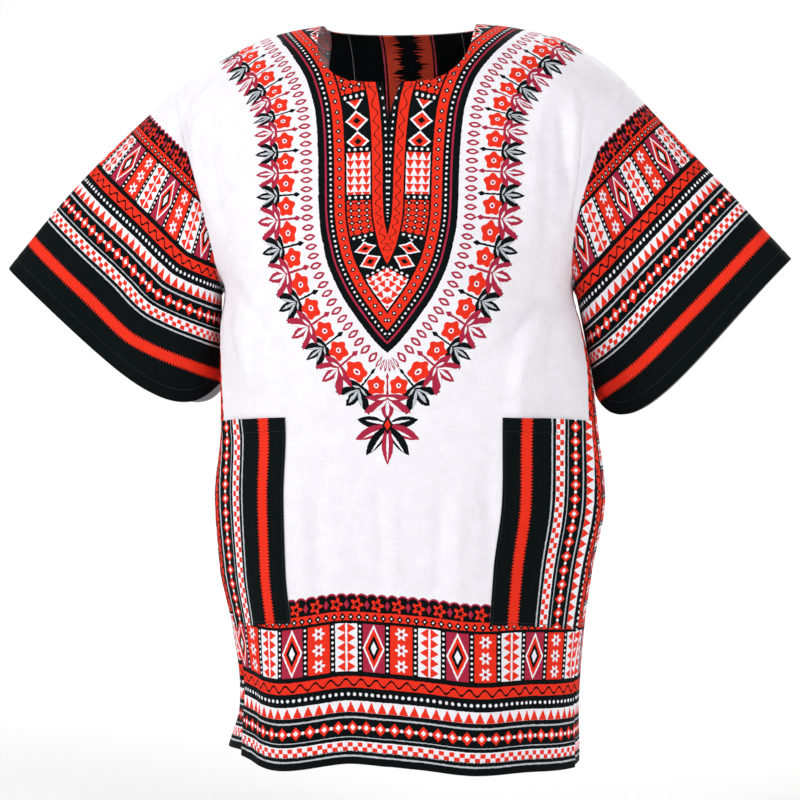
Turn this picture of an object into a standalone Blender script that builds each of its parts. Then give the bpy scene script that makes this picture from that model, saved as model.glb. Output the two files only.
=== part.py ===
"""A dashiki: a loose pullover tunic of printed cotton, with wide sleeves, a slit neck and two side pockets.

It keeps the hollow form that it has when worn. The tables are in millimetres and the meshes in metres.
The origin is midway between the two neck points, where the tunic hangs on its wearer's shoulders.
+X is the wearer's left, +Y the back and +Z up. A "drop" is a distance below the neck points, and an
"out" is a distance from the middle plane, to either side.
"""

from collections import namedtuple

import bpy
import numpy as np

MM = 0.001

# Cloth
WALL = 1.5
SEAM_GAP = 0.3
FACING_WALL = 1.0

# Neck opening: a squarish scoop in front, shallow behind, with a slit down from the front
NECK_HALF = 77.0
FRONT_NECK_DROP = 66.5
BACK_NECK_DROP = 4.0
FRONT_NECK_SQUARENESS = 3.0
BACK_NECK_SQUARENESS = 2.0
SLIT_FOOT_DROP = 102.0
CENTRE_STRIP_HALF = 3.0

# Levels of the body
TIP_DROP = 61.5
UNDERARM_DROP = 265.0
VENT_DROP = 672.0
HEM_DROP = 735.0

# Roundness: 2 is an ellipse, and more is squarer
OVAL = 2.3
FRONT_ROLL, BACK_ROLL = 90.0, 110.0
FRONT_ROLL_POWER, BACK_ROLL_POWER = 2.0, 2.8

# Side vents: how far the front edge draws back, in degrees round the body, and the back edge stands out
VENT_OPEN_DEG = 0.8
VENT_LIFT, VENT_LIFT_SPREAD_DEG = 3.0, 10.0
FLAP_FLARE = {"right": 17.0, "left": 3.0}
FLAP_PLACE_DEG, FLAP_SPREAD_DEG = 24.0, 16.0

# Sleeves
CUFF_HALF_DEPTH = 45.0
CUFF_BACK_SHIFT = 25.0
CUFF_ROUNDNESS = 2.4
SLEEVE_TOP_BULGE = {"right": 8.0, "left": 1.5}
UNDERARM_FLARE = 5.0
UNDERARM_FLARE_RUN = 0.015
UNDERARM_STEP = 1.5
UNDERARM_START_DROP, UNDERARM_FULL_DROP = 212.0, 252.0

# The grid of each panel
NECK_COLUMNS = 8
POCKET_COLUMN = 7
SIDE_COLUMNS = 16
YOKE_SHARES = (0, 0.013, 0.05, 0.107, 0.179, 0.327, 0.441, 0.56, 0.68, 0.79, 0.9, 1)
YOKE_SPREAD_POWER = 3
NECK_LEAN = np.radians(45)
CENTRE_EASE = 60.0
SLIT_ROWS = 4
CHEST_ROWS, POCKET_ROWS, SKIRT_ROWS = 4, 7, 5
SLEEVE_SHARES = (0, 0.03, 0.08, 0.16, 0.26, 0.38, 0.5, 0.62, 0.74, 0.87, 1)
FACING_ROWS, FACING_COLUMNS = 5, 6

# Half widths on the wearer's right and left, depths in front and behind, and where the level is widest
Section = namedtuple("Section", "drop right left front back widest")
SECTIONS = (
    Section(0, 280, 280, 96, 100, 0),
    Section(TIP_DROP, 256, 254, 104, 112, 0),
    Section(100, 235, 228, 110, 119, 0),
    Section(150, 217, 207, 118, 124, 0),
    Section(200, 199, 186, 123, 124, 0),
    Section(240, 185, 174, 126, 122, 0),
    Section(265, 178, 171, 126, 120, 0),
    Section(300, 180, 179.5, 126, 117, -4),
    Section(350, 178, 191, 125, 113, -14),
    Section(400, 176, 197, 124, 112, -30),
    Section(470, 183, 204, 124, 114, -26),
    Section(540, 179, 191, 125, 118, -20),
    Section(600, 167, 182, 125, 121, -14),
    Section(660, 160, 177, 125, 122, -10),
    Section(735, 160, 174, 127, 124, -10),
)

# The shoulder line's drops, from the neck point to the shoulder tip
Shoulder = namedtuple("Shoulder", "out right left")
SHOULDERS = (
    Shoulder(NECK_HALF, 0, 0),
    Shoulder(105, 4.5, 3),
    Shoulder(130, 10.5, 8),
    Shoulder(155, 20.5, 14.5),
    Shoulder(180, 33.5, 27),
    Shoulder(205, 48, 43),
    Shoulder(226, TIP_DROP, TIP_DROP),
)

# The armhole seam as seen from the front, on the wearer's right and left
Armhole = namedtuple("Armhole", "drop right left")
ARMHOLES = (
    Armhole(TIP_DROP, 226, 226),
    Armhole(100, 216, 210),
    Armhole(150, 202, 193),
    Armhole(200, 190, 178),
    Armhole(240, 182, 172),
    Armhole(UNDERARM_DROP, 178, 171),
)

# Where the side seam runs, in degrees round the body from the middle of the front
Seam = namedtuple("Seam", "drop right left")
SEAMS = (
    Seam(UNDERARM_DROP, 90, 90),
    Seam(320, 84, 84),
    Seam(400, 75, 76),
    Seam(600, 73, 78),
    Seam(672, 73, 82),
    Seam(745, 73, 83),
)

# Where the pocket's inner edge runs, in the same degrees
PocketEdge = namedtuple("PocketEdge", "drop right left")
POCKET_EDGES = (
    PocketEdge(UNDERARM_DROP, 37, 37),
    PocketEdge(390, 31.7, 31),
    PocketEdge(600, 29.8, 28),
    PocketEdge(745, 29.5, 28),
)

# The slit's half width
Slit = namedtuple("Slit", "drop half")
SLIT = (
    Slit(FRONT_NECK_DROP, 11),
    Slit(SLIT_FOOT_DROP, 1),
    Slit(160, CENTRE_STRIP_HALF),
    Slit(745, CENTRE_STRIP_HALF),
)

# The hem line: drop of the front and of the back at each place across, negative on the wearer's right
Hem = namedtuple("Hem", "place front back")
HEMS = (
    Hem(-154, 725, 720),
    Hem(-105, 733, 722),
    Hem(-37, 724, 728),
    Hem(28, 728, 731),
    Hem(86, 734, 727),
    Hem(126, 733, 728),
    Hem(165, 735, 734),
)

# Level rows at the pockets' top and foot, at the middle of the front and at the side seam
Level = namedtuple("Level", "middle side")
POCKET_TOP = Level(390, 395)
POCKET_FOOT = Level(588, 599)

# Soft vertical folds round the body: bearing 0 is the front, 90 the wearer's left and 180 the back
Fold = namedtuple("Fold", "bearing spread height top full")
FOLDS = (
    Fold(-48, 17, 6, 430, 700),
    Fold(-17, 14, -7, 470, 720),
    Fold(38, 18, 6, 420, 690),
    Fold(66, 12, -4, 330, 480),
    Fold(-70, 12, -4, 330, 480),
    Fold(112, 14, 6, 330, 620),
    Fold(-116, 14, 6, 330, 620),
    Fold(146, 15, -6, 200, 560),
    Fold(-150, 15, -6, 200, 560),
    Fold(180, 16, 7, 240, 600),
)

# The cuff as seen from the front: a curve from its top to its underarm end, through two pulls
Cuff = namedtuple("Cuff", "out drop")
CUFFS = {
    "right": (Cuff(399, 240), Cuff(303, 322), Cuff(222, 420), Cuff(184, 355)),
    "left": (Cuff(387, 235), Cuff(301, 320), Cuff(228, 437), Cuff(193, 367)),
}

# Folds along a sleeve: round is 0 on top and 1 under the arm, along is 0 at the armhole and 1 at the cuff
SleeveFold = namedtuple("SleeveFold", "round spread height along reach")
SLEEVE_FOLDS = {
    "right": (
        SleeveFold(0.30, 0.10, -7, 0.62, 0.42),
        SleeveFold(0.52, 0.12, 6, 0.80, 0.50),
        SleeveFold(0.80, 0.10, -6, 0.45, 0.40),
    ),
    "left": (
        SleeveFold(0.34, 0.11, 6, 0.55, 0.45),
        SleeveFold(0.60, 0.11, -7, 0.50, 0.45),
        SleeveFold(0.82, 0.09, -6, 0.70, 0.40),
    ),
}

SIDES = {"right": -1, "left": 1}
FRONT, BACK = -1, 1

Finish = namedtuple("Finish", "colour roughness")
FINISHES = {
    "printed_cotton": Finish((0.66, 0.60, 0.62), 0.85),
    "bordered_cotton": Finish((0.42, 0.31, 0.32), 0.85),
    "pocket_cotton": Finish((0.34, 0.22, 0.23), 0.85),
    "facing_cotton": Finish((0.12, 0.05, 0.05), 0.85),
}


def column(rows, name, at):
    """A smooth line (monotone cubic) through one column of a table, read along its first column."""
    places = np.array([row[0] for row in rows], float)
    values = np.array([getattr(row, name) for row in rows], float)
    at = np.clip(at, places[0], places[-1])
    k = np.clip(np.searchsorted(places, at, side="right") - 1, 0, len(places) - 2)
    step = np.diff(places)
    slope = np.diff(values) / step
    tangent = np.concatenate([slope[:1], np.zeros(len(slope) - 1), slope[-1:]])
    same_way = slope[:-1] * slope[1:] > 0
    total = np.where(same_way, slope[:-1] + slope[1:], 1)
    tangent[1:-1] = np.where(same_way, 2 * slope[:-1] * slope[1:] / total, 0)
    t = (at - places[k]) / step[k]
    return (
        values[k] * (1 + 2 * t) * (1 - t) ** 2
        + values[k + 1] * t**2 * (3 - 2 * t)
        + step[k] * (tangent[k] * t * (1 - t) ** 2 - tangent[k + 1] * t**2 * (1 - t))
    )


def ease(t):
    """0 to 1 with level ends."""
    t = np.clip(t, 0, 1)
    return t * t * (3 - 2 * t)


def half_width(sign, drop):
    return np.where(sign < 0, column(SECTIONS, "right", drop), column(SECTIONS, "left", drop))


def shoulder_drop(out):
    along = np.abs(out)
    return np.where(out < 0, column(SHOULDERS, "right", along), column(SHOULDERS, "left", along))


def swell(bearing, drop):
    """How far the folds push the cloth out: a bell across each fold, growing down its length."""
    total = np.zeros(np.broadcast(bearing, drop).shape)
    for fold in FOLDS:
        off = (bearing - fold.bearing + 180) % 360 - 180
        grown = ease((drop - fold.top) / (fold.full - fold.top))
        total += fold.height * np.exp(-((off / fold.spread) ** 2)) * grown
    return total


def body_point(out, drop, face, flare=0.0):
    """The middle of the cloth at signed width out and level drop, on the front or the back face.

    Each level is an oval: (out / half width)^n + (depth / full depth)^n = 1. Towards the shoulder line
    the depth closes to nothing, as a rounded edge does, and the folds and a flare scale the level.
    """
    fullness = (1 - np.clip(np.abs(out) / half_width(out, drop), 0, 1) ** OVAL) ** (1 / OVAL)
    below = np.maximum(drop - shoulder_drop(out), 0)
    to_tip = np.clip((np.abs(out) - NECK_HALF) / (SHOULDERS[-1].out - NECK_HALF), 0, 1)
    roll = np.where(face < 0, FRONT_ROLL, BACK_ROLL)
    back_power = BACK_ROLL_POWER + (FRONT_ROLL_POWER - BACK_ROLL_POWER) * to_tip
    power = np.where(face < 0, FRONT_ROLL_POWER, back_power)
    rise = (1 - (1 - np.clip(below / roll, 0, 1)) ** power) ** (1 / power)
    widest = column(SECTIONS, "widest", drop)
    depth = np.where(face < 0, column(SECTIONS, "front", drop), column(SECTIONS, "back", drop))
    y = rise * (widest + face * (depth - face * widest) * fullness)
    bearing = np.degrees(np.arctan2(out, widest - y))
    scale = 1 + (swell(bearing, drop) + flare) / np.maximum(np.hypot(out, y - widest), 40)
    return np.stack([out * scale, widest + (y - widest) * scale, -drop + 0 * out], axis=-1)


def top_edge(face, sign):
    """(outs, drops, leans) along the neckline, evenly spaced on the cloth, and then the shoulder line.

    A column starts down at its lean from upright, at most NECK_LEAN, to leave a steep neckline well.
    """
    full_drop = FRONT_NECK_DROP if face == FRONT else BACK_NECK_DROP
    squareness = FRONT_NECK_SQUARENESS if face == FRONT else BACK_NECK_SQUARENESS
    turn = np.linspace(0, np.pi / 2, 400)
    out = NECK_HALF * np.sin(turn) ** (2 / squareness)
    drop = full_drop * np.cos(turn) ** (2 / squareness)
    steps = np.linalg.norm(np.diff(body_point(out, drop, face), axis=0), axis=1)
    run = np.concatenate([[0], np.cumsum(steps)])
    even = np.linspace(0, run[-1], NECK_COLUMNS + 1)
    out, drop = np.interp(even, run, out), np.interp(even, run, drop)
    sideways = (out / NECK_HALF) ** (squareness - 1) / NECK_HALF
    downwards = (drop / full_drop) ** (squareness - 1) / full_drop
    lean = np.minimum(np.arctan2(sideways, downwards), NECK_LEAN) * np.minimum((drop + 6) / 25, 1)
    along = np.linspace(NECK_HALF, SHOULDERS[-1].out, SIDE_COLUMNS - NECK_COLUMNS + 1)[1:]
    return (
        np.concatenate([out, along]),
        np.concatenate([drop, shoulder_drop(sign * along)]),
        np.concatenate([lean, np.zeros(len(along))]),
    )


def column_shares(side, drop):
    """Where the columns lie from the middle to the side seam, one of them on the pocket's inner edge."""
    pocket = column(POCKET_EDGES, side, drop) / column(SEAMS, side, drop)
    place = np.arange(SIDE_COLUMNS + 1)
    inner = pocket * place / POCKET_COLUMN
    outer = pocket + (1 - pocket) * (place - POCKET_COLUMN) / (SIDE_COLUMNS - POCKET_COLUMN)
    return np.where(place <= POCKET_COLUMN, inner, outer)


def row_drops(hem_drop, shares):
    """The drop of each row below the underarm, level by level, as (row, column)."""
    levels = [
        np.full(len(shares), UNDERARM_DROP),
        POCKET_TOP.middle + (POCKET_TOP.side - POCKET_TOP.middle) * shares**2,
        POCKET_FOOT.middle + (POCKET_FOOT.side - POCKET_FOOT.middle) * shares**2,
        hem_drop,
    ]
    rows = []
    for above, below, count in zip(levels, levels[1:], (CHEST_ROWS, POCKET_ROWS, SKIRT_ROWS)):
        rows += [above + (below - above) * k / count for k in range(1, count + 1)]
    return np.array(rows)


def half_panel(side, face):
    """(row, column) points of half a front or back, from the middle line to the armhole and side seam."""
    sign = SIDES[side]
    shares = column_shares(side, UNDERARM_DROP)
    top_out, top_drop, lean = top_edge(face, sign)
    rows = []
    for share in YOKE_SHARES:
        edge_drop = TIP_DROP + (UNDERARM_DROP - TIP_DROP) * share
        edge_out = column(ARMHOLES, side, edge_drop)
        edge_half = half_width(sign, edge_drop)
        edge_angle = np.arcsin(np.clip(edge_out / edge_half, 0, 1) ** (OVAL / 2))
        rounded = edge_half * np.sin(shares * edge_angle) ** (2 / OVAL)
        spread = 1 - (1 - share) ** YOKE_SPREAD_POWER
        run = (UNDERARM_DROP - top_drop) * share
        out = (top_out * edge_out / top_out[-1] + run * np.sin(lean)) * (1 - spread) + rounded * spread
        drop = top_drop + run * (np.cos(lean) * (1 - spread) + spread)
        rows.append((out, drop, np.full(len(out), face), np.zeros(len(out))))
    hem_half = half_width(sign, HEM_DROP)
    hem_angle = column_shares(side, HEM_DROP) * column(SEAMS, side, HEM_DROP)
    hem_place = sign * hem_half * np.sin(np.radians(hem_angle)) ** (2 / OVAL)
    hem_drop = column(HEMS, "front" if face == FRONT else "back", hem_place)
    for drop in row_drops(hem_drop, shares):
        opened = ease((drop - VENT_DROP) / (HEM_DROP - VENT_DROP))
        seam = column(SEAMS, side, drop)
        if face == FRONT:
            angle = column_shares(side, drop) * (seam - VENT_OPEN_DEG * opened)
            flare = VENT_LIFT * opened * np.exp(-(((angle - seam) / VENT_LIFT_SPREAD_DEG) ** 2))
        else:
            angle = 180 + column_shares(side, drop) * (seam - 180)
            past = (angle - seam - FLAP_PLACE_DEG) / FLAP_SPREAD_DEG
            flare = FLAP_FLARE[side] * opened * np.exp(-(past**2))
        out = half_width(sign, drop) * np.sin(np.radians(angle)) ** (2 / OVAL)
        rows.append((out, drop, np.where(angle < 90, FRONT, BACK), flare))
    out, drop, faces, flare = (np.array(part) for part in zip(*rows))
    middle = column(SLIT, "half", drop[:, :1]) if face == FRONT else CENTRE_STRIP_HALF
    out = out + middle * (1 - np.minimum(out / CENTRE_EASE, 1))
    return body_point(sign * out, drop, faces, flare)


def panel(face):
    """(row, column) points of a whole front or back, its columns running so that the cells face out."""
    right, left = half_panel("right", face), half_panel("left", face)
    across = np.concatenate([right[:, ::-1], left], axis=1)
    return across if face == FRONT else across[:, ::-1]


def curve_point(pulls, t):
    """A cubic Bezier curve through a cuff's four rows, as (out, drop)."""
    t = np.asarray(t)[..., None]
    a, b, c, d = (np.array(pull, float) for pull in pulls)
    return (1 - t) ** 3 * a + 3 * t * (1 - t) ** 2 * b + 3 * t**2 * (1 - t) * c + t**3 * d


def sleeve(side, front_edge, back_edge):
    """(row, column) rings of a sleeve, straight from the armhole to the cuff but for its folds."""
    sign = SIDES[side]

    def round_share(edge):
        steps = np.linalg.norm(np.diff(edge, axis=0), axis=1)
        return np.concatenate([[0], np.cumsum(steps)]) / steps.sum()

    armhole = np.concatenate([front_edge, back_edge[-2:0:-1]])
    around = np.concatenate([round_share(front_edge), round_share(back_edge)[-2:0:-1]])
    face = np.concatenate([np.full(len(front_edge), FRONT), np.full(len(back_edge) - 2, BACK)])
    flat = curve_point(CUFFS[side], around)
    from_top = np.clip(np.abs(2 * around - 1), 0, 1)
    bow = CUFF_HALF_DEPTH * (1 - from_top**CUFF_ROUNDNESS) ** (1 / CUFF_ROUNDNESS)
    cuff = np.stack([sign * flat[:, 0], CUFF_BACK_SHIFT * around + face * bow, -flat[:, 1]], axis=-1)
    rows = []
    for share in SLEEVE_SHARES:
        ring = armhole * (1 - share) + cuff * share
        bulge = SLEEVE_TOP_BULGE[side] * np.sin(np.pi * share) * (1 - around) ** 2
        leaving = (1 - np.exp(-share / UNDERARM_FLARE_RUN)) * (1 - share)
        flare = UNDERARM_FLARE * leaving * ease(around / 0.4 - 1.5)
        ring[:, 0] += sign * (0.7 * bulge + flare)
        ring[:, 2] += 0.7 * bulge
        for fold in SLEEVE_FOLDS[side]:
            along = ease(1 - np.abs(share - fold.along) / fold.reach)
            across = np.exp(-(((around - fold.round) / fold.spread) ** 2))
            ring[:, 1] += face * fold.height * along * across * np.sin(np.pi * around)
        rows.append(ring)
    rings = np.array(rows)
    return rings if sign < 0 else rings[:, ::-1]


def underarm(points):
    """0 where an armhole seam joins smooth cloth, growing to 1 where it turns under the arm."""
    return ease((-points[..., 2:] - UNDERARM_START_DROP) / (UNDERARM_FULL_DROP - UNDERARM_START_DROP))


def blend(normal, other, share):
    mixed = normal * (1 - share) + other * share
    return mixed / np.linalg.norm(mixed, axis=-1, keepdims=True)


def seam_normals(grids, rings):
    """Outward unit normals of several grids, each the mean of the cells round it.

    Points of two pieces that meet at a seam get one normal, so that the walls meet face to face.
    """
    points, found = [], []
    for grid, ring in zip(grids, rings):
        shut = np.concatenate([grid, grid[:, :1]], axis=1) if ring else grid
        down = shut[1:, :-1] - shut[:-1, :-1] + shut[1:, 1:] - shut[:-1, 1:]
        across = shut[:-1, 1:] - shut[:-1, :-1] + shut[1:, 1:] - shut[1:, :-1]
        cell = np.cross(down, across)
        cell /= np.linalg.norm(cell, axis=-1, keepdims=True)
        total = np.zeros_like(shut)
        for rows, columns in ((np.s_[:-1], np.s_[:-1]), (np.s_[1:], np.s_[:-1]), (np.s_[:-1], np.s_[1:])):
            total[rows, columns] += cell
        total[1:, 1:] += cell
        if ring:
            total[:, 0] += total[:, -1]
            total = total[:, :-1]
        points.append(grid.reshape(-1, 3))
        found.append(total.reshape(-1, 3))
    _, index = np.unique(np.round(np.concatenate(points), 4), axis=0, return_inverse=True)
    index = index.reshape(-1)
    shared = np.zeros((index.max() + 1, 3))
    np.add.at(shared, index, np.concatenate(found))
    mean = shared[index] / np.linalg.norm(shared[index], axis=-1, keepdims=True)
    ends = np.cumsum([len(part) for part in points])[:-1]
    return [part.reshape(grid.shape) for part, grid in zip(np.split(mean, ends), grids)]


def trim(points, ring=False):
    """Draws each edge of a grid back by half the seam gap."""
    made = points.copy()

    def drawn_back(edge, inner):
        toward = inner - edge
        return toward / np.linalg.norm(toward, axis=-1, keepdims=True) * SEAM_GAP / 2

    made[0] += drawn_back(points[0], points[1])
    made[-1] += drawn_back(points[-1], points[-2])
    if not ring:
        made[:, 0] += drawn_back(points[:, 0], points[:, 1])
        made[:, -1] += drawn_back(points[:, -1], points[:, -2])
    return made


def finish_of(name):
    finish = FINISHES[name]
    material = bpy.data.materials.get(name) or bpy.data.materials.new(name)
    material.use_nodes = True
    shader = material.node_tree.nodes["Principled BSDF"]
    shader.inputs["Base Color"].default_value = (*finish.colour, 1)
    shader.inputs["Roughness"].default_value = finish.roughness
    material.diffuse_color = (*finish.colour, 1)
    return material


def wall(name, middle, normal, thickness, finish, ring=False, kept=None):
    """One closed solid: a grid's outer and inner skins, and a rim wherever a kept cell has no neighbour.

    Every cell is cut the same way, and a rim from its higher end, so that cloth laid on cloth stays apart.
    """
    rows, columns = middle.shape[:2]
    cells = (rows - 1, columns if ring else columns - 1)
    kept = np.ones(cells, bool) if kept is None else kept
    outer = middle + normal * thickness / 2
    inner = middle - normal * thickness / 2
    points = np.concatenate([outer.reshape(-1, 3), inner.reshape(-1, 3)]) * MM
    inside = rows * columns

    def number(r, c):
        return r * columns + c % columns

    def has(r, c):
        if ring:
            c %= columns
        return 0 <= r < cells[0] and 0 <= c < cells[1] and kept[r, c]

    faces = []
    for r, c in zip(*np.nonzero(kept)):
        loop = [number(r, c), number(r + 1, c), number(r + 1, c + 1), number(r, c + 1)]
        for a, b, d in ((0, 1, 2), (0, 2, 3)):
            faces.append([loop[a], loop[b], loop[d]])
            faces.append([loop[d] + inside, loop[b] + inside, loop[a] + inside])
        beyond = ((r, c - 1), (r + 1, c), (r, c + 1), (r - 1, c))
        for k, neighbour in enumerate(beyond):
            if not has(*neighbour):
                a, b = loop[k], loop[(k + 1) % 4]
                if points[a, 2] > points[b, 2]:
                    faces += [[b, a, b + inside], [a, a + inside, b + inside]]
                else:
                    faces += [[b, a, a + inside], [b, a + inside, b + inside]]
    used = np.unique(np.concatenate(faces))
    new_number = {old: new for new, old in enumerate(used.tolist())}
    mesh = bpy.data.meshes.new(name)
    mesh.from_pydata(points[used].tolist(), [], [[new_number[int(v)] for v in face] for face in faces])
    mesh.shade_smooth()
    mesh.materials.append(finish_of(finish))
    made = bpy.data.objects.new(name, mesh)
    bpy.context.scene.collection.objects.link(made)
    return made


def lay_on(points, normal, rows, columns, lift):
    """The part of a panel's grid in those rows and columns, moved out by lift, with its normals."""
    part = (slice(rows[0], rows[1] + 1), slice(columns[0], columns[1] + 1))
    return points[part] + normal[part] * lift, normal[part]


def main():
    for old in list(bpy.data.objects):
        bpy.data.objects.remove(old)

    front, back = panel(FRONT), panel(BACK)
    yoke = len(YOKE_SHARES)
    sleeves = {
        "right": sleeve("right", front[:yoke, 0], back[:yoke, -1]),
        "left": sleeve("left", front[:yoke, -1], back[:yoke, 0]),
    }
    normals = seam_normals([front, back, *sleeves.values()], (False, False, True, True))

    # Under the arm the sleeve stands on the body's side rather than meeting it face to face
    own = seam_normals([front, back], (False, False))
    for points, normal, plain in zip((front, back), normals, own):
        for edge in (0, -1):
            seam = np.s_[:yoke, edge]
            normal[seam] = blend(normal[seam], plain[seam], underarm(points[seam]))
    for (side, rings), normal in zip(sleeves.items(), normals[2:]):
        plain = seam_normals([rings], (True,))[0]
        turned = underarm(rings[0])
        normal[0] = blend(normal[0], plain[0], turned)
        rings[0] += turned * (SIDES[side] * UNDERARM_STEP, 0, 0)
    front_normal, back_normal = normals[:2]

    open_slit = np.ones((front.shape[0] - 1, front.shape[1] - 1), bool)
    open_slit[:SLIT_ROWS, SIDE_COLUMNS] = False
    wall("front", trim(front), front_normal, WALL, "printed_cotton", kept=open_slit)
    wall("back", trim(back), back_normal, WALL, "printed_cotton")
    for (side, rings), normal in zip(sleeves.items(), normals[2:]):
        wall("sleeve_" + side, trim(rings, ring=True), normal, WALL, "bordered_cotton", ring=True)

    # Patch pockets over the front, from their inner edge to the side seam
    top_row = yoke - 1 + CHEST_ROWS
    pocket_rows = (top_row, top_row + POCKET_ROWS)
    last = front.shape[1] - 1
    lift = WALL / 2 + SEAM_GAP + FACING_WALL / 2
    inner = SIDE_COLUMNS - POCKET_COLUMN
    for name, columns in (("pocket_right", (0, inner)), ("pocket_left", (last - inner, last))):
        points, normal = lay_on(trim(front), front_normal, pocket_rows, columns, lift)
        wall(name, points, normal, FACING_WALL, "pocket_cotton")

    # A facing inside the back of the neck
    middle = SIDE_COLUMNS
    facing_columns = (middle - FACING_COLUMNS, middle + 1 + FACING_COLUMNS)
    points, normal = lay_on(trim(back), back_normal, (0, FACING_ROWS), facing_columns, -lift)
    wall("neck_facing", points, normal, FACING_WALL, "facing_cotton")


main()
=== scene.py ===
from collections import namedtuple

import bpy
import numpy as np
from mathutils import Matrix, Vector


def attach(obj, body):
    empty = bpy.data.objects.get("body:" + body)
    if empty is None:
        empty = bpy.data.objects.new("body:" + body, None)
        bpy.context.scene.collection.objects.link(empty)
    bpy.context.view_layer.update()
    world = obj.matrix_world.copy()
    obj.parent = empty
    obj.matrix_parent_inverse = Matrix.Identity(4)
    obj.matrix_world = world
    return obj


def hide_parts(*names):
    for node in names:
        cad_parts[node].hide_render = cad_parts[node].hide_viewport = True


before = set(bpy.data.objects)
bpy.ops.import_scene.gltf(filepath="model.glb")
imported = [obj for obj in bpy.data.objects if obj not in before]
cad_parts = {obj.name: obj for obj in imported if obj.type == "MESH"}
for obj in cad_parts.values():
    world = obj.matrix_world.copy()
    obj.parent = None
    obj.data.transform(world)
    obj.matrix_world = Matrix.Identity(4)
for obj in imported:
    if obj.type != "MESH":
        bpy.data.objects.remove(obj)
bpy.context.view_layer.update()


# Front and back: two panels of plain-woven cotton, printed with a neck ornament and wide borders.
# They are sewn together along the shoulders and down the sides, and end in short side vents; the hem, the
# vents, the neck and the slit are turned inside and stitched.
# Lengths are in millimetres until a mesh is made. A "drop" is a distance below the neck points, and an
# "out" a distance from the middle plane, negative on the wearer's right.

MM = 0.001
FRONT, BACK = -1, 1

CLOTH = 0.7
TURNED_CLOTH = 1.5
HEM_TURN = 13.0
VENT_TURN = 9.0
NECK_TURN = 6.0

NECK_HALF = 77.0
FRONT_NECK_DROP, BACK_NECK_DROP = 66.5, 4.0
FRONT_NECK_SQUARENESS, BACK_NECK_SQUARENESS = 3.0, 2.0
SLIT_FOOT_SHARE, SLIT_FOOT_DROP = 0.179, 102.0
CENTRE_STRIP_HALF = 3.0
CENTRE_EASE = 60.0
TIP_DROP, UNDERARM_DROP, VENT_DROP, HEM_DROP = 61.5, 265.0, 672.0, 735.0
OVAL = 2.3
FRONT_ROLL, BACK_ROLL = 90.0, 110.0
FRONT_ROLL_POWER, BACK_ROLL_POWER = 2.0, 2.8
VENT_OPEN_DEG, VENT_LIFT, VENT_LIFT_SPREAD_DEG = 0.8, 3.0, 10.0
FLAP_FLARE = {"right": 17.0, "left": 3.0}
FLAP_PLACE_DEG, FLAP_SPREAD_DEG = 24.0, 16.0

# Where a panel's columns lie: the facing's edge, the pocket's edge, the neck point, near the side, the side
FACING_PLACE, POCKET_PLACE, NECK_PLACE, CLOSE_PLACE, SIDE_PLACE = 6, 7, 8, 15.4, 16
YOKE_SPREAD_POWER = 3
NECK_LEAN = np.radians(45)
NECK_LEAN_START, NECK_LEAN_RUN = 6, 25

# Half widths on the wearer's right and left, depths in front and behind, and where the level is widest
Section = namedtuple("Section", "drop right left front back widest")
SECTIONS = (
    Section(0, 280, 280, 96, 100, 0),
    Section(TIP_DROP, 256, 254, 104, 112, 0),
    Section(100, 235, 228, 110, 119, 0),
    Section(150, 217, 207, 118, 124, 0),
    Section(200, 199, 186, 123, 124, 0),
    Section(240, 185, 174, 126, 122, 0),
    Section(265, 178, 171, 126, 120, 0),
    Section(300, 180, 179.5, 126, 117, -4),
    Section(350, 178, 191, 125, 113, -14),
    Section(400, 176, 197, 124, 112, -30),
    Section(470, 183, 204, 124, 114, -26),
    Section(540, 179, 191, 125, 118, -20),
    Section(600, 167, 182, 125, 121, -14),
    Section(660, 160, 177, 125, 122, -10),
    Section(735, 160, 174, 127, 124, -10),
)

Shoulder = namedtuple("Shoulder", "out right left")
SHOULDERS = (
    Shoulder(NECK_HALF, 0, 0),
    Shoulder(105, 4.5, 3),
    Shoulder(130, 10.5, 8),
    Shoulder(155, 20.5, 14.5),
    Shoulder(180, 33.5, 27),
    Shoulder(205, 48, 43),
    Shoulder(226, TIP_DROP, TIP_DROP),
)

Armhole = namedtuple("Armhole", "drop right left")
ARMHOLES = (
    Armhole(TIP_DROP, 226, 226),
    Armhole(100, 216, 210),
    Armhole(150, 202, 193),
    Armhole(200, 190, 178),
    Armhole(240, 182, 172),
    Armhole(UNDERARM_DROP, 178, 171),
)

# Where the side seam runs, in degrees round the body from the middle of the front
Seam = namedtuple("Seam", "drop right left")
SEAMS = (
    Seam(UNDERARM_DROP, 90, 90),
    Seam(320, 84, 84),
    Seam(400, 75, 76),
    Seam(600, 73, 78),
    Seam(672, 73, 82),
    Seam(745, 73, 83),
)

# Where the pocket's inner edge runs, in the same degrees
PocketEdge = namedtuple("PocketEdge", "drop right left")
POCKET_EDGES = (
    PocketEdge(UNDERARM_DROP, 37, 37),
    PocketEdge(390, 31.7, 31),
    PocketEdge(600, 29.8, 28),
    PocketEdge(745, 29.5, 28),
)

Slit = namedtuple("Slit", "drop half")
SLIT = (
    Slit(FRONT_NECK_DROP, 11),
    Slit(SLIT_FOOT_DROP, 1),
    Slit(160, CENTRE_STRIP_HALF),
    Slit(745, CENTRE_STRIP_HALF),
)

Hem = namedtuple("Hem", "place front back")
HEMS = (
    Hem(-154, 725, 720),
    Hem(-105, 733, 722),
    Hem(-37, 724, 728),
    Hem(28, 728, 731),
    Hem(86, 734, 727),
    Hem(126, 733, 728),
    Hem(165, 735, 734),
)

Level = namedtuple("Level", "middle side")
POCKET_TOP = Level(390, 395)
POCKET_FOOT = Level(588, 599)

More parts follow.
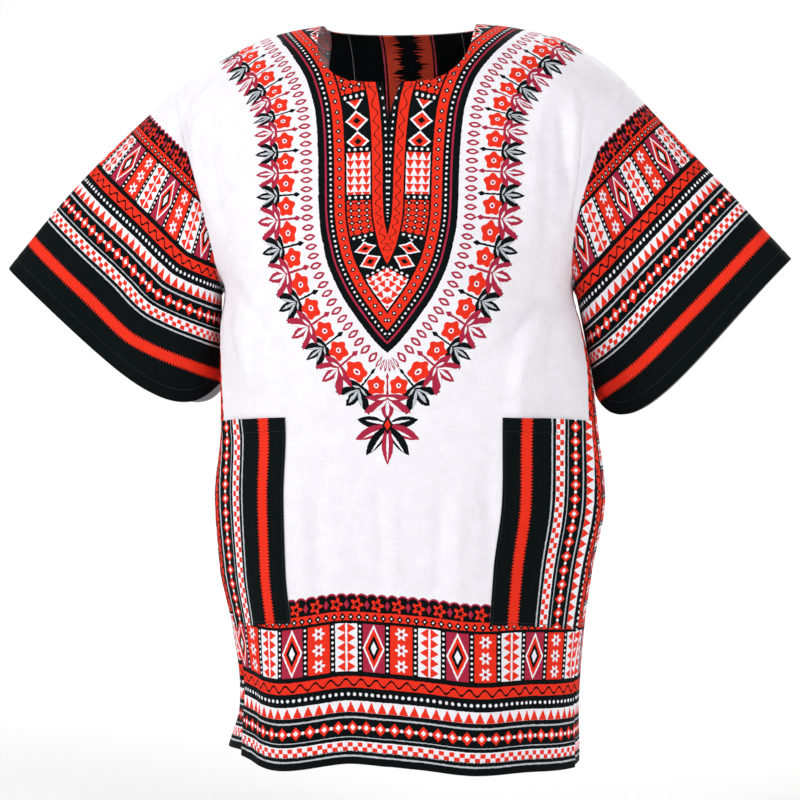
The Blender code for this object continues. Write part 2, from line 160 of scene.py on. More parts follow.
# Soft vertical folds round the body: bearing 0 is the front, 90 the wearer's left and 180 the back
Fold = namedtuple("Fold", "bearing spread height top full")
FOLDS = (
    Fold(-48, 17, 6, 430, 700),
    Fold(-17, 14, -7, 470, 720),
    Fold(38, 18, 6, 420, 690),
    Fold(66, 12, -4, 330, 480),
    Fold(-70, 12, -4, 330, 480),
    Fold(112, 14, 6, 330, 620),
    Fold(-116, 14, 6, 330, 620),
    Fold(146, 15, -6, 200, 560),
    Fold(-150, 15, -6, 200, 560),
    Fold(180, 16, 7, 240, 600),
)

# Creases given one by one: from one point to another, bowed sideways at their middle, raised or sunk by
# height
Crease = namedtuple("Crease", "out drop to_out to_drop bow width height")
FRONT_CREASES = (
    # The wearer's left armhole: a deep drag line just inside the seam, its ridge, and a second one below
    Crease(190, 70, 172, 214, 7, 6.0, -11.0),
    Crease(176, 62, 160, 226, 7, 7.5, 6.5),
    Crease(160, 70, 144, 240, 6, 9.0, -6.0),
    Crease(142, 110, 132, 262, 4, 10.0, 3.5),
    # The wearer's right armhole: a drag line that turns down along the seam, and a shallower one
    Crease(-212, 74, -188, 200, -7, 6.0, -10.0),
    Crease(-196, 66, -174, 214, -7, 7.5, 6.5),
    Crease(-180, 70, -160, 232, -6, 8.0, -6.5),
    # From the shoulders towards the chest
    Crease(150, 26, 116, 128, 5, 9.0, -2.2),
    Crease(132, 34, 104, 140, 4, 9.0, 1.4),
    Crease(-158, 30, -124, 138, -5, 10.0, -2.3),
    Crease(-136, 40, -112, 146, -5, 10.0, 1.5),
    # From under the arms, in to the waist
    Crease(166, 254, 112, 326, -9, 8.0, -5.4),
    Crease(168, 280, 122, 372, -8, 9.0, 4.2),
    Crease(-172, 252, -116, 334, 9, 8.0, -5.6),
    Crease(-174, 280, -128, 384, 10, 10.0, 4.4),
    Crease(-166, 214, -156, 398, -6, 10.0, -7.0),
    Crease(-144, 226, -138, 408, 5, 11.0, 4.6),
    Crease(156, 284, 148, 400, 5, 9.0, -5.0),
    Crease(134, 296, 128, 420, -5, 10.0, 3.4),
    # Faint upright ones down the middle
    Crease(-12, 432, -6, 572, 3, 5.0, -2.2),
    Crease(6, 462, 12, 584, -3, 7.0, 1.9),
    Crease(48, 446, 44, 578, 4, 6.0, -2.2),
    Crease(72, 430, 68, 590, -4, 8.0, 2.2),
    Crease(-66, 430, -58, 596, -5, 9.0, -2.9),
    Crease(-92, 420, -84, 590, 4, 9.0, 2.2),
    Crease(92, 414, 96, 566, 4, 9.0, -2.6),
    # The hem's soft waves
    Crease(-96, 600, -104, 742, 3, 12.0, 2.4),
    Crease(-60, 640, -66, 742, -3, 9.0, -2.0),
    Crease(-20, 630, -22, 742, 3, 10.0, 1.3),
    Crease(58, 610, 64, 742, 3, 12.0, -2.2),
    Crease(96, 630, 104, 742, -4, 10.0, 2.2),
    Crease(134, 600, 140, 742, 3, 9.0, -2.2),
    Crease(-138, 610, -140, 742, 3, 8.0, -2.2),
)
BACK_CREASES = (
    # Between the shoulder blades
    Crease(-120, 60, -60, 150, 8, 11.0, -2.6),
    Crease(124, 56, 62, 148, -8, 11.0, -2.4),
    Crease(-90, 150, 84, 162, 10, 12.0, -2.0),
    Crease(-70, 184, 96, 176, -9, 12.0, 1.6),
    # The armholes
    Crease(-206, 88, -172, 210, 8, 6.5, -5.6),
    Crease(-188, 100, -152, 220, 8, 9.0, 3.6),
    Crease(204, 86, 170, 208, -8, 6.0, -6.0),
    Crease(186, 96, 150, 218, -8, 9.0, 3.8),
    # From under the arms to the small of the back
    Crease(-168, 264, -96, 372, 12, 9.0, -3.8),
    Crease(-166, 298, -110, 430, 12, 11.0, 3.2),
    Crease(164, 262, 92, 366, -12, 9.0, -3.6),
    Crease(168, 298, 116, 420, -12, 11.0, 3.0),
    Crease(-60, 320, -44, 520, 6, 12.0, -2.8),
    Crease(56, 310, 40, 540, -6, 12.0, -3.0),
    Crease(-4, 290, 4, 600, 5, 16.0, 2.4),
    # The hem's soft waves
    Crease(-124, 560, -132, 742, 4, 12.0, -2.8),
    Crease(-84, 600, -90, 742, -4, 12.0, 2.4),
    Crease(-34, 580, -30, 742, 3, 10.0, -2.0),
    Crease(30, 600, 36, 742, 3, 11.0, 2.0),
    Crease(84, 570, 92, 742, -4, 12.0, -2.6),
    Crease(128, 590, 136, 742, 4, 11.0, 2.3),
)


def column(rows, name, at):
    """A smooth line (monotone cubic) through one of a table's columns, read along its first column."""
    places = np.array([row[0] for row in rows], float)
    values = np.array([getattr(row, name) for row in rows], float)
    at = np.clip(at, places[0], places[-1])
    k = np.clip(np.searchsorted(places, at, side="right") - 1, 0, len(places) - 2)
    step = np.diff(places)
    slope = np.diff(values) / step
    tangent = np.concatenate([slope[:1], np.zeros(len(slope) - 1), slope[-1:]])
    same_way = slope[:-1] * slope[1:] > 0
    total = np.where(same_way, slope[:-1] + slope[1:], 1)
    tangent[1:-1] = np.where(same_way, 2 * slope[:-1] * slope[1:] / total, 0)
    t = (at - places[k]) / step[k]
    return (
        values[k] * (1 + 2 * t) * (1 - t) ** 2
        + values[k + 1] * t**2 * (3 - 2 * t)
        + step[k] * (tangent[k] * t * (1 - t) ** 2 - tangent[k + 1] * t**2 * (1 - t))
    )


def sided(rows, sign, at):
    """A table read in its right column where sign is negative, and in its left one elsewhere."""
    return np.where(sign < 0, column(rows, "right", at), column(rows, "left", at))


def ease(t):
    """0 to 1 with level ends."""
    t = np.clip(t, 0, 1)
    return t * t * (3 - 2 * t)


def bell(off, spread):
    """1 at the middle, falling to 0 on both sides as exp(-(off / spread)^2)."""
    return np.exp(-((off / spread) ** 2))


def swell(bearing, drop):
    """How far the folds push the cloth out: a bell across each fold, growing down its length."""
    total = np.zeros(np.broadcast(bearing, drop).shape)
    for fold in FOLDS:
        off = (bearing - fold.bearing + 180) % 360 - 180
        total += fold.height * bell(off, fold.spread) * ease((drop - fold.top) / (fold.full - fold.top))
    return total


def body_point(out, drop, face, flare=0.0):
    """The middle of the cloth at signed width out and level drop, on the front or the back face.

    Each level is an oval: (out / half width)^n + (depth / full depth)^n = 1. Towards the shoulder line
    the depth closes to nothing, as a rounded edge does. Folds and a flare scale the level from its centre.
    """
    half = sided(SECTIONS, out, drop)
    fullness = (1 - np.clip(np.abs(out) / half, 0, 1) ** OVAL) ** (1 / OVAL)
    below = np.maximum(drop - sided(SHOULDERS, out, np.abs(out)), 0)
    to_tip = np.clip((np.abs(out) - NECK_HALF) / (SHOULDERS[-1].out - NECK_HALF), 0, 1)
    back_power = BACK_ROLL_POWER + (FRONT_ROLL_POWER - BACK_ROLL_POWER) * to_tip
    power = np.where(face < 0, FRONT_ROLL_POWER, back_power)
    roll = np.where(face < 0, FRONT_ROLL, BACK_ROLL)
    rise = (1 - (1 - np.clip(below / roll, 0, 1)) ** power) ** (1 / power)
    widest = column(SECTIONS, "widest", drop)
    depth = np.where(face < 0, column(SECTIONS, "front", drop), column(SECTIONS, "back", drop))
    y = rise * (widest + face * (depth - face * widest) * fullness)
    bearing = np.degrees(np.arctan2(out, widest - y))
    scale = 1 + (swell(bearing, drop) + flare) / np.maximum(np.hypot(out, y - widest), 40)
    return np.stack([out * scale, widest + (y - widest) * scale, -drop + 0 * out], axis=-1)


def top_edge(face, place, sign):
    """(out, drop, lean) where each column starts: evenly along the neckline, then along the shoulder."""
    full_drop = FRONT_NECK_DROP if face == FRONT else BACK_NECK_DROP
    squareness = FRONT_NECK_SQUARENESS if face == FRONT else BACK_NECK_SQUARENESS
    turn = np.linspace(0, np.pi / 2, 1200)
    out = NECK_HALF * np.sin(turn) ** (2 / squareness)
    drop = full_drop * np.cos(turn) ** (2 / squareness)
    run = run_along(body_point(out, drop, face))
    even = np.clip(place / NECK_PLACE, 0, 1) * run[-1]
    neck_out, neck_drop = np.interp(even, run, out), np.interp(even, run, drop)
    sideways = (neck_out / NECK_HALF) ** (squareness - 1) / NECK_HALF
    downwards = (neck_drop / full_drop) ** (squareness - 1) / full_drop
    lean = np.minimum(np.arctan2(sideways, downwards), NECK_LEAN)
    lean = lean * np.minimum((neck_drop + NECK_LEAN_START) / NECK_LEAN_RUN, 1)
    beyond = np.clip((place - NECK_PLACE) / (SIDE_PLACE - NECK_PLACE), 0, 1)
    along = NECK_HALF + (SHOULDERS[-1].out - NECK_HALF) * beyond
    on_neck = place <= NECK_PLACE
    return (
        np.where(on_neck, neck_out, along),
        np.where(on_neck, neck_drop, sided(SHOULDERS, sign, along)),
        lean * np.clip(1 - (place - NECK_PLACE), 0, 1),
    )


def run_along(points, axis=0):
    """The distance from the first point to each of the others, along the line through them."""
    step = np.linalg.norm(np.diff(points, axis=axis), axis=-1)
    return np.concatenate([np.zeros_like(step.take([0], axis)), np.cumsum(step, axis)], axis)


SLIT_ROWS = 28
Rows = namedtuple("Rows", "yoke chest pocket skirt")
PANEL_ROWS = Rows(
    yoke=np.concatenate(
        [
            SLIT_FOOT_SHARE * np.linspace(0, 1, SLIT_ROWS + 1) ** 2,
            np.linspace(SLIT_FOOT_SHARE, 1, 51)[1:],
        ]
    ),
    chest=np.linspace(0, 1, 33)[1:],
    pocket=np.linspace(0, 1, 51)[1:],
    skirt=np.concatenate([np.linspace(0, 0.86, 33)[1:], np.linspace(0.86, 1, 15)[1:]]),
)
YOKE = len(PANEL_ROWS.yoke)


def columns_from(places):
    """(place, sign, strip) of a panel's columns, from the wearer's right to left by the centre strip."""
    half = len(places)
    strip = np.array([0.5, 0, 0.5])
    return (
        np.concatenate([places[::-1], np.zeros(3), places]),
        np.concatenate([-np.ones(half + 1), np.ones(half + 2)]),
        np.concatenate([np.ones(half), strip, np.ones(half)]),
    )


HALF_PLACES = np.concatenate(
    [
        np.linspace(0, FACING_PLACE, 31),
        np.linspace(FACING_PLACE, POCKET_PLACE, 6)[1:],
        np.linspace(POCKET_PLACE, NECK_PLACE, 6)[1:],
        np.linspace(NECK_PLACE, CLOSE_PLACE, 35)[1:],
        np.linspace(CLOSE_PLACE, SIDE_PLACE, 9)[1:],
    ]
)
STRIP_COLUMNS = slice(len(HALF_PLACES) - 1, len(HALF_PLACES) + 3)


def column_share(place, sign, drop):
    """A column's share of the way from the middle to the side seam, by way of the pocket's inner edge."""
    pocket = sided(POCKET_EDGES, sign, drop) / sided(SEAMS, sign, drop)
    outer = pocket + (1 - pocket) * (place - POCKET_PLACE) / (SIDE_PLACE - POCKET_PLACE)
    return np.where(place <= POCKET_PLACE, pocket * place / POCKET_PLACE, outer)


Panel = namedtuple("Panel", "points out drop")


def panel(face, rows, columns):
    """A front or back as (row, column) points, with each point's out and drop.

    A yoke row's share runs from the top edge to the underarm, in from the armhole; the rows below it lie
    level by level, round the body to the side seam.
    """
    place, sign, strip = columns
    share = column_share(place, sign, UNDERARM_DROP)
    top_out, top_drop, lean = top_edge(face, place, sign)
    down = rows.yoke[:, None]
    edge_drop = TIP_DROP + (UNDERARM_DROP - TIP_DROP) * down
    edge_out = sided(ARMHOLES, sign, edge_drop)
    edge_half = sided(SECTIONS, sign, edge_drop)
    edge_angle = np.arcsin(np.clip(edge_out / edge_half, 0, 1) ** (OVAL / 2))
    rounded = edge_half * np.sin(share * edge_angle) ** (2 / OVAL)
    spread = 1 - (1 - down) ** YOKE_SPREAD_POWER
    run = (UNDERARM_DROP - top_drop) * down
    upper_out = top_out * edge_out / SHOULDERS[-1].out + run * np.sin(lean)
    yoke_out = upper_out * (1 - spread) + rounded * spread
    yoke_drop = top_drop + run * (np.cos(lean) * (1 - spread) + spread)

    hem_angle = np.radians(column_share(place, sign, HEM_DROP) * sided(SEAMS, sign, HEM_DROP))
    hem_place = sign * sided(SECTIONS, sign, HEM_DROP) * np.sin(hem_angle) ** (2 / OVAL)
    levels = [
        np.full(len(share), UNDERARM_DROP),
        *(level.middle + (level.side - level.middle) * share**2 for level in (POCKET_TOP, POCKET_FOOT)),
        column(HEMS, "front" if face == FRONT else "back", hem_place),
    ]
    between = zip(levels, levels[1:], rows[1:])
    drop = np.concatenate([above + (below - above) * part[:, None] for above, below, part in between])
    opened = ease((drop - VENT_DROP) / (HEM_DROP - VENT_DROP))
    seam = sided(SEAMS, sign, drop)
    share = column_share(place, sign, drop)
    if face == FRONT:
        angle = share * (seam - VENT_OPEN_DEG * opened)
        flare = VENT_LIFT * opened * bell(angle - seam, VENT_LIFT_SPREAD_DEG)
    else:
        angle = 180 + share * (seam - 180)
        flap = np.where(sign < 0, FLAP_FLARE["right"], FLAP_FLARE["left"])
        flare = flap * opened * bell(angle - seam - FLAP_PLACE_DEG, FLAP_SPREAD_DEG)
    lower_out = sided(SECTIONS, sign, drop) * np.sin(np.radians(angle)) ** (2 / OVAL)

    out = np.concatenate([yoke_out, lower_out])
    drop = np.concatenate([yoke_drop, drop])
    middle = CENTRE_STRIP_HALF
    if face == FRONT:
        middle = column(SLIT, "half", drop[:, np.argmin(place)][:, None])
    out = sign * (out + middle * strip * (1 - np.minimum(out / CENTRE_EASE, 1)))
    faces = np.concatenate([np.full(yoke_out.shape, face), np.where(angle < 90, FRONT, BACK)])
    flare = np.concatenate([0 * yoke_out, flare])
    made = Panel(body_point(out, drop, faces, flare), out, drop)
    return made if face == FRONT else Panel(*(part[:, ::-1] for part in made))


def unit(ways):
    """Each direction, at length 1."""
    return ways / np.linalg.norm(ways, axis=-1, keepdims=True)


def grid_normals(*grids, ring=False):
    """Outward unit normals of each grid: the mean of the cells round a point, shared where grids meet."""
    points, found = [], []
    for grid in grids:
        shut = np.concatenate([grid, grid[:, :1]], axis=1) if ring else grid
        down = shut[1:, :-1] - shut[:-1, :-1] + shut[1:, 1:] - shut[:-1, 1:]
        across = shut[:-1, 1:] - shut[:-1, :-1] + shut[1:, 1:] - shut[1:, :-1]
        cell = unit(np.cross(down, across))
        total = np.zeros_like(shut)
        for columns in (np.s_[:-1], np.s_[1:]):
            for rows in (np.s_[:-1], np.s_[1:]):
                total[rows, columns] += cell
        if ring:
            total[:, 0] += total[:, -1]
            total = total[:, :-1]
        points.append(grid.reshape(-1, 3))
        found.append(total.reshape(-1, 3))
    _, index = np.unique(np.round(np.concatenate(points), 3), axis=0, return_inverse=True)
    index = index.reshape(-1)
    shared = np.zeros((index.max() + 1, 3))
    np.add.at(shared, index, np.concatenate(found))
    ends = np.cumsum([len(part) for part in points])[:-1]
    return [part.reshape(grid.shape) for part, grid in zip(np.split(unit(shared[index]), ends), grids)]


CREASE_TAPER = 0.35


def creased(out, drop, creases):
    """The height of all creases at each point: a bell across each bowed line, tapered at both its ends."""
    total = 0 * out
    for crease in creases:
        run = np.array([crease.to_out - crease.out, crease.to_drop - crease.drop], float)
        length = np.hypot(*run)
        run /= length
        along = ((out - crease.out) * run[0] + (drop - crease.drop) * run[1]) / length
        bow = crease.bow * 4 * along * (1 - along)
        off = (out - crease.out) * run[1] - (drop - crease.drop) * run[0] - bow
        taper = ease(along / CREASE_TAPER) * ease((1 - along) / CREASE_TAPER)
        total += crease.height * bell(off, crease.width) * taper
    return total


def pucker(along, off, spread, height):
    """The small uneven waves that a line of stitches draws up, along it and fading away from it."""
    wave = 0.55 * np.sin(along / 2.1) + 0.45 * np.sin(along / 3.4 + 1.3) + 0.3 * np.sin(along / 7.9)
    return height * wave * bell(off, spread)


def side_runs(points):
    """How far each point is along its row from the row's nearer end, and that row's run from the middle."""
    run = run_along(points, axis=1)
    from_side = np.minimum(run, run[:, -1:] - run)
    return from_side, run - run[:, [points.shape[1] // 2]]


SHARP_DEG = 50


def shell(name, middle, normal, half_out, half_in, material, maps, ring=False, kept=None, reverse=True):
    """One closed mesh: a grid's outer and inner skins, and a rim wherever a kept cell has no neighbour.

    maps holds each UV map in metres as (row, column, corner, 2) of the cells, so it may break at a seam.
    """
    rows, columns = middle.shape[:2]
    cells = (rows - 1, columns if ring else columns - 1)
    kept = np.ones(cells, bool) if kept is None else kept
    points = np.stack([middle + normal * half_out, middle - normal * half_in]).reshape(-1, 3)
    number = np.arange(rows * columns).reshape(rows, columns)
    if ring:
        number = np.concatenate([number, number[:, :1]], axis=1)
    corner = cell_corners(number)
    inside = rows * columns
    around = np.pad(kept, 1)
    if ring:
        around[1:-1, 0], around[1:-1, -1] = kept[:, -1], kept[:, 0]
    beyond = (around[1:-1, :-2], around[2:, 1:-1], around[1:-1, 2:], around[:-2, 1:-1])
    faces = [corner[kept], corner[kept][:, ::-1] + inside]
    picks = [(kept, [0, 1, 2, 3]), (kept, [3, 2, 1, 0])]
    for k, neighbour in enumerate(beyond):
        edge = kept & ~neighbour
        a, b = corner[edge][:, k], corner[edge][:, (k + 1) % 4]
        faces.append(np.stack([b, a, a + inside, b + inside], axis=-1))
        picks.append((edge, [(k + 1) % 4, k, k, (k + 1) % 4]))
    faces = np.concatenate(faces)
    used, new_number = np.unique(faces, return_inverse=True)
    mesh = bpy.data.meshes.new(name)
    mesh.from_pydata(points[used] * MM, [], new_number.reshape(faces.shape))
    for map_name, uv in maps.items():
        layer = mesh.uv_layers.new(name=map_name)
        corners = np.concatenate([uv[at][:, order] for at, order in picks])
        layer.uv.foreach_set("vector", corners.ravel())
    back = mesh.attributes.new("reverse", "FLOAT", "POINT")
    back.data.foreach_set("value", (used >= inside).astype(np.float32) * reverse)
    mesh.shade_smooth()
    mesh.set_sharp_from_angle(angle=np.radians(SHARP_DEG))
    mesh.materials.append(material)
    made = bpy.data.objects.new(name, mesh)
    bpy.context.scene.collection.objects.link(made)
    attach(made, "root")
    return made


def cell_corners(grid):
    """A grid's cells as (row, column, corner), the four corners going round each cell."""
    return np.stack([grid[:-1, :-1], grid[1:, :-1], grid[1:, 1:], grid[:-1, 1:]], axis=2)


def uv_cells(along, across):
    """A UV map's cell corners in metres, from two grids in millimetres."""
    return cell_corners(np.stack([along + 0 * across, across + 0 * along], axis=-1)) * MM


POINTS_AT_ONCE = 4000  # keeps the table of distances small


def nearest_on(line, points):
    """(distance, run) of each point from a line of close points: how far off, and where along it."""
    run = run_along(line)
    distance, at = np.empty(len(points)), np.empty(len(points))
    for first in range(0, len(points), POINTS_AT_ONCE):
        batch = slice(first, first + POINTS_AT_ONCE)
        some = points[batch]
        near = np.argmin(((some[:, None] - line[None]) ** 2).sum(-1), axis=1)
        best = np.full(len(some), np.inf)
        for start in (np.clip(near - 1, 0, len(line) - 2), np.clip(near, 0, len(line) - 2)):
            step = line[start + 1] - line[start]
            part = np.clip(((some - line[start]) * step).sum(-1) / (step**2).sum(-1), 0, 1)
            off = np.linalg.norm(some - line[start] - part[:, None] * step, axis=-1)
            better = off < best
            best = np.where(better, off, best)
            at[batch] = np.where(better, run[start] + part * (run[start + 1] - run[start]), at[batch])
        distance[batch] = best
    return distance, at


# The neck ornament's outline, as out and drop from its upper end to its tip
Outline = namedtuple("Outline", "drop out")
FRONT_ORNAMENT = (
    Outline(0, 132),
    Outline(18, 116),
    Outline(40, 97),
    Outline(66, 81),
    Outline(100, 71.5),
    Outline(140, 68.5),
    Outline(195, 67),
    Outline(236, 60),
    Outline(270, 46),
    Outline(300, 26),
    Outline(321, 9),
    Outline(329, 0),
)
BACK_ORNAMENT = (
    Outline(0, 132),
    Outline(22, 117),
    Outline(48, 96),
    Outline(70, 70),
    Outline(86, 38),
    Outline(92, 0),
)
RING_RADIUS = 33.0
ORNAMENT_REACH = 232
OFF_ORNAMENT = 400.0


def ornament_map(made, outline, depth):
    """The neck map: along the ornament's outline from below its tip, and out from it, negative inside it.

    Round the tip, the length along is the turn about it at RING_RADIUS, so the ring of flowers goes on.
    """
    drop = np.linspace(outline[0].drop, outline[-1].drop, 500)
    out = column(outline, "out", drop)
    line = body_point(out, drop, FRONT if made is front else BACK)[::-1]
    near = (made.drop < depth) & (np.abs(made.out) < ORNAMENT_REACH)
    points = made.points[near]
    points[:, 0] = np.abs(made.out[near])
    distance, at = nearest_on(line, points)
    edge = np.interp(made.drop[near], drop, out, right=-1)
    inside = np.abs(made.out[near]) < edge
    tip_turn = np.arctan2(drop[-1] - drop[-2], out[-2] - out[-1])
    turn = np.arctan2(np.abs(made.out[near]), made.drop[near] - drop[-1])
    turn = np.where(inside, tip_turn, np.clip(turn, 0, tip_turn))
    across, along = np.full(made.out.shape, OFF_ORNAMENT), np.zeros(made.out.shape)
    across[near] = np.where(inside, -distance, distance)
    along[near] = at + RING_RADIUS * turn
    return uv_cells(along, across)


def add(kind, *inputs, tree=None, out=0, **settings):
    """Adds a node to the tree that its inputs are in, sets it up, feeds its inputs, and returns one output.

    A kind in capitals is a Math operation, and "Mix.RGBA" names a node and its type or operation.
    """
    tree = tree or next(value.id_data for value in inputs if isinstance(value, bpy.types.NodeSocket))
    kind, _, mode = ("Math." + kind if kind.isupper() else kind).partition(".")
    made = tree.nodes.new("ShaderNode" + kind)
    if mode:
        setattr(made, "data_type" if kind == "Mix" else "operation", mode)
    for name, value in settings.items():
        setattr(made, name, value)
    for socket, value in zip([socket for socket in made.inputs if socket.enabled], inputs):
        if isinstance(value, bpy.types.NodeSocket):
            tree.links.new(value, socket)
        else:
            socket.default_value = value
    return [socket for socket in made.outputs if socket.enabled][out]


def linear(code):
    """A colour as linear RGBA, from its sRGB hex code."""
    value = np.array([int(code[k : k + 2], 16) for k in (1, 3, 5)]) / 255
    value = np.where(value <= 0.04045, value / 12.92, ((value + 0.055) / 1.055) ** 2.4)
    return (*value.tolist(), 1)


WHITE = linear("#F6F4FA")
BLACK = linear("#080F11")
ORANGE = linear("#F0331F")
CRIMSON = linear("#B02A45")
GREY = linear("#C3C8CF")


def stripes(across, bands):
    """Plain stripes: each band's colour from its edge to the next one's."""
    reach = bands[-1][0] + 1
    ramp = across.id_data.nodes.new("ShaderNodeValToRGB")
    across.id_data.links.new(add("DIVIDE", across, reach), ramp.inputs[0])
    ramp.color_ramp.interpolation = "CONSTANT"
    elements = ramp.color_ramp.elements
    elements.remove(elements[1])
    for k, (edge, colour) in enumerate(bands):
        element = elements[0] if k == 0 else elements.new(edge / reach)
        element.color = colour
    return ramp.outputs[0]


def band(across, low, high):
    """1 between two edges, and 0 elsewhere."""
    return add("COMPARE", across, (low + high) / 2, (high - low) / 2)


def within(across, reach):
    """1 where |across| is under reach, and 0 elsewhere."""
    return add("LESS_THAN", add("ABSOLUTE", across), reach)


def wave(along, length, height=1.0):
    """height sin(2 pi along / length)."""
    return add("MULTIPLY", add("SINE", add("MULTIPLY", along, 2 * np.pi / length)), height)


def centred(along, pitch, start=0.0):
    """The distance to the middle of the nearest repeat, where repeats of that pitch begin at start."""
    return add("WRAP", add("SUBTRACT", along, start + pitch / 2), pitch / 2, -pitch / 2)


def in_turn(along, pitch, start=0.0):
    """Two masks: 1 in the first, and 1 in the second, of every three panels of that pitch."""
    number = add("FLOOR", add("DIVIDE", add("SUBTRACT", along, start), pitch))
    number = add("FLOORED_MODULO", number, 3.0)
    return add("COMPARE", number, 0.0, 0.5), add("COMPARE", number, 1.0, 0.5)


def lozenge(x, y, half_width, half_height):
    """1 where |x| / half width + |y| / half height is under 1."""
    wide = add("DIVIDE", add("ABSOLUTE", x), half_width)
    tall = add("DIVIDE", add("ABSOLUTE", y), half_height)
    return add("LESS_THAN", add("ADD", wide, tall), 1.0)


def flower(x, y, radius, petals=0, depth=0.25):
    """1 inside a disc whose edge goes in and out as radius (1 - depth + depth cos(petals angle))."""
    off = add("VectorMath.LENGTH", add("CombineXYZ", x, y, 0.0))
    if not petals:
        return add("LESS_THAN", off, radius)
    turn = add("MULTIPLY", add("ARCTAN2", y, x), float(petals))
    edge = add("MULTIPLY_ADD", add("COSINE", turn), radius * depth, radius * (1 - depth))
    return add("LESS_THAN", off, edge)


def leaf(x, y, turn, root, length, half_width):
    """1 in a leaf from root up the y axis, leaning by turn radians: |across| < half width (1 - along^2)."""
    y = add("SUBTRACT", y, root)
    forward, aside = float(np.cos(turn)), float(np.sin(turn))
    across = add("SUBTRACT", add("MULTIPLY", x, forward), add("MULTIPLY", y, aside))
    along = add("ADD", add("MULTIPLY", x, aside), add("MULTIPLY", y, forward))
    along = add("MULTIPLY_ADD", along, 2 / length, -1.0)
    return within(across, add("MULTIPLY_ADD", add("MULTIPLY", along, along), -half_width, half_width))


def over(colour, mask, ink):
    """The ink where the mask is 1, and the colour elsewhere."""
    return add("Mix.RGBA", mask, colour, ink)


def stamped(colour, x, y, *motifs):
    """Motifs laid in turn over a colour where x and y are 0, each as its shape, sizes and ink."""
    for shape, *sizes, ink in motifs:
        colour = over(colour, shape(x, y, *sizes), ink)
    return colour


BORDER_BANDS = (
    (0, BLACK),
    (60.5, GREY),
    (62, BLACK),
    (65, WHITE),
    (75, BLACK),
    (78, GREY),
    (79.2, BLACK),
    (96, GREY),
    (97.2, BLACK),
    (101, WHITE),
    (112, BLACK),
    (124, ORANGE),
    (134, BLACK),
    (185, ORANGE),
    (193, BLACK),
    (204, WHITE),
)


def border_print(s, t):
    """The border's colour at s along it and t up from its edge, in mm: stripes, and then the motifs."""

    def row_at(middle):
        return add("SUBTRACT", t, middle)

    colour = stripes(t, BORDER_BANDS)

    # A red stripe with combed edges, 30 to 41 mm up
    comb = add("MULTIPLY_ADD", add("PINGPONG", s, 1.6), 1.7, 3.9)
    colour = over(colour, within(row_at(35.5), comb), ORANGE)

    # Checks, 65 to 75 mm up
    check = add("GREATER_THAN", add("MULTIPLY", wave(s, 10.0), row_at(70.0)), 0.0)
    colour = over(colour, add("MULTIPLY", check, band(t, 66, 74)), ORANGE)

    # A chain of lozenges and beads, 81 to 94 mm up
    y = row_at(87.6)
    colour = stamped(colour, centred(s, 14.0), y, (lozenge, 6.0, 6.2, ORANGE), (lozenge, 2.6, 2.8, WHITE))
    colour = stamped(colour, centred(s, 14.0, 7.0), y, (flower, 1.7, WHITE))

    # Triangles on white, 101 to 112 mm up
    slope = add("MULTIPLY_ADD", row_at(101.6), -0.48, 4.8)
    triangle = add("MULTIPLY", within(centred(s, 10.5), slope), band(t, 101.8, 111.4))
    colour = over(colour, triangle, ORANGE)

    # White dots on black, 114 to 121 mm up
    colour = stamped(colour, centred(s, 6.0), row_at(118.0), (flower, 1.6, WHITE))

    # A wave on red, 124 to 134 mm up
    off = add("SUBTRACT", row_at(129.0), wave(s, 15.0, 2.9))
    colour = over(colour, add("MULTIPLY", within(off, 1.1), band(t, 124, 134)), BLACK)

    # Panels in turn, 139 to 183 mm up: stacked flowers, stepped triangles, and lozenges in one another
    pitch, foot = 27.0, 139.0
    x, y = centred(s, pitch), row_at(161.0)
    first, second = in_turn(s, pitch)
    flowers = stamped(ORANGE, x, centred(t, 14.66, foot), (flower, 6.2, 6, WHITE), (flower, 1.8, CRIMSON))
    steps = add("MULTIPLY_ADD", add("ABSOLUTE", centred(t, 8.8, foot)), -1.7, 9.0)
    triangles = over(over(WHITE, within(x, steps), ORANGE), within(x, 1.0), WHITE)
    nested = stamped(CRIMSON, x, y, (lozenge, 10.8, 22.0, WHITE), (lozenge, 9.0, 18.4, ORANGE))
    nested = stamped(nested, x, y, (lozenge, 6.0, 12.2, BLACK), (lozenge, 3.2, 6.4, WHITE))
    filled = over(over(nested, first, flowers), second, triangles)
    filled = over(filled, add("GREATER_THAN", add("ABSOLUTE", x), 10.8), BLACK)
    filled = stamped(filled, centred(s, pitch, pitch / 2), centred(t, 4.9, foot), (flower, 1.2, WHITE))
    colour = over(colour, band(t, foot, 183), filled)

    # Lozenges on red, 185 to 193 mm up
    x, y = centred(s, 8.0), row_at(189.0)
    colour = stamped(colour, x, y, (lozenge, 3.2, 3.6, BLACK), (flower, 0.9, WHITE))

    # A dark band of flowers with a scalloped upper edge, from 193 mm up
    x = centred(s, 10.0)
    for middle, radius, low, ink in ((204.4, 6.4, 203.9, CRIMSON), (203.6, 5.6, 203.0, BLACK)):
        scallop = add("MULTIPLY", flower(x, row_at(middle), radius), add("GREATER_THAN", t, low))
        colour = over(colour, scallop, ink)
    y = row_at(200.5)
    colour = stamped(colour, centred(s, 20.0), y, (flower, 6.6, 5, ORANGE), (flower, 3.0, 5, BLACK))
    return stamped(colour, centred(s, 20.0, 10.0), y, (lozenge, 2.6, 4.4, CRIMSON))


NECK_BANDS = (
    (0, BLACK),
    (7, ORANGE),
    (17, BLACK),
    (44, ORANGE),
    (54, BLACK),
    (61.5, CRIMSON),
    (63.4, BLACK),
    (70, WHITE),
)
NECK_REACH = 70.0


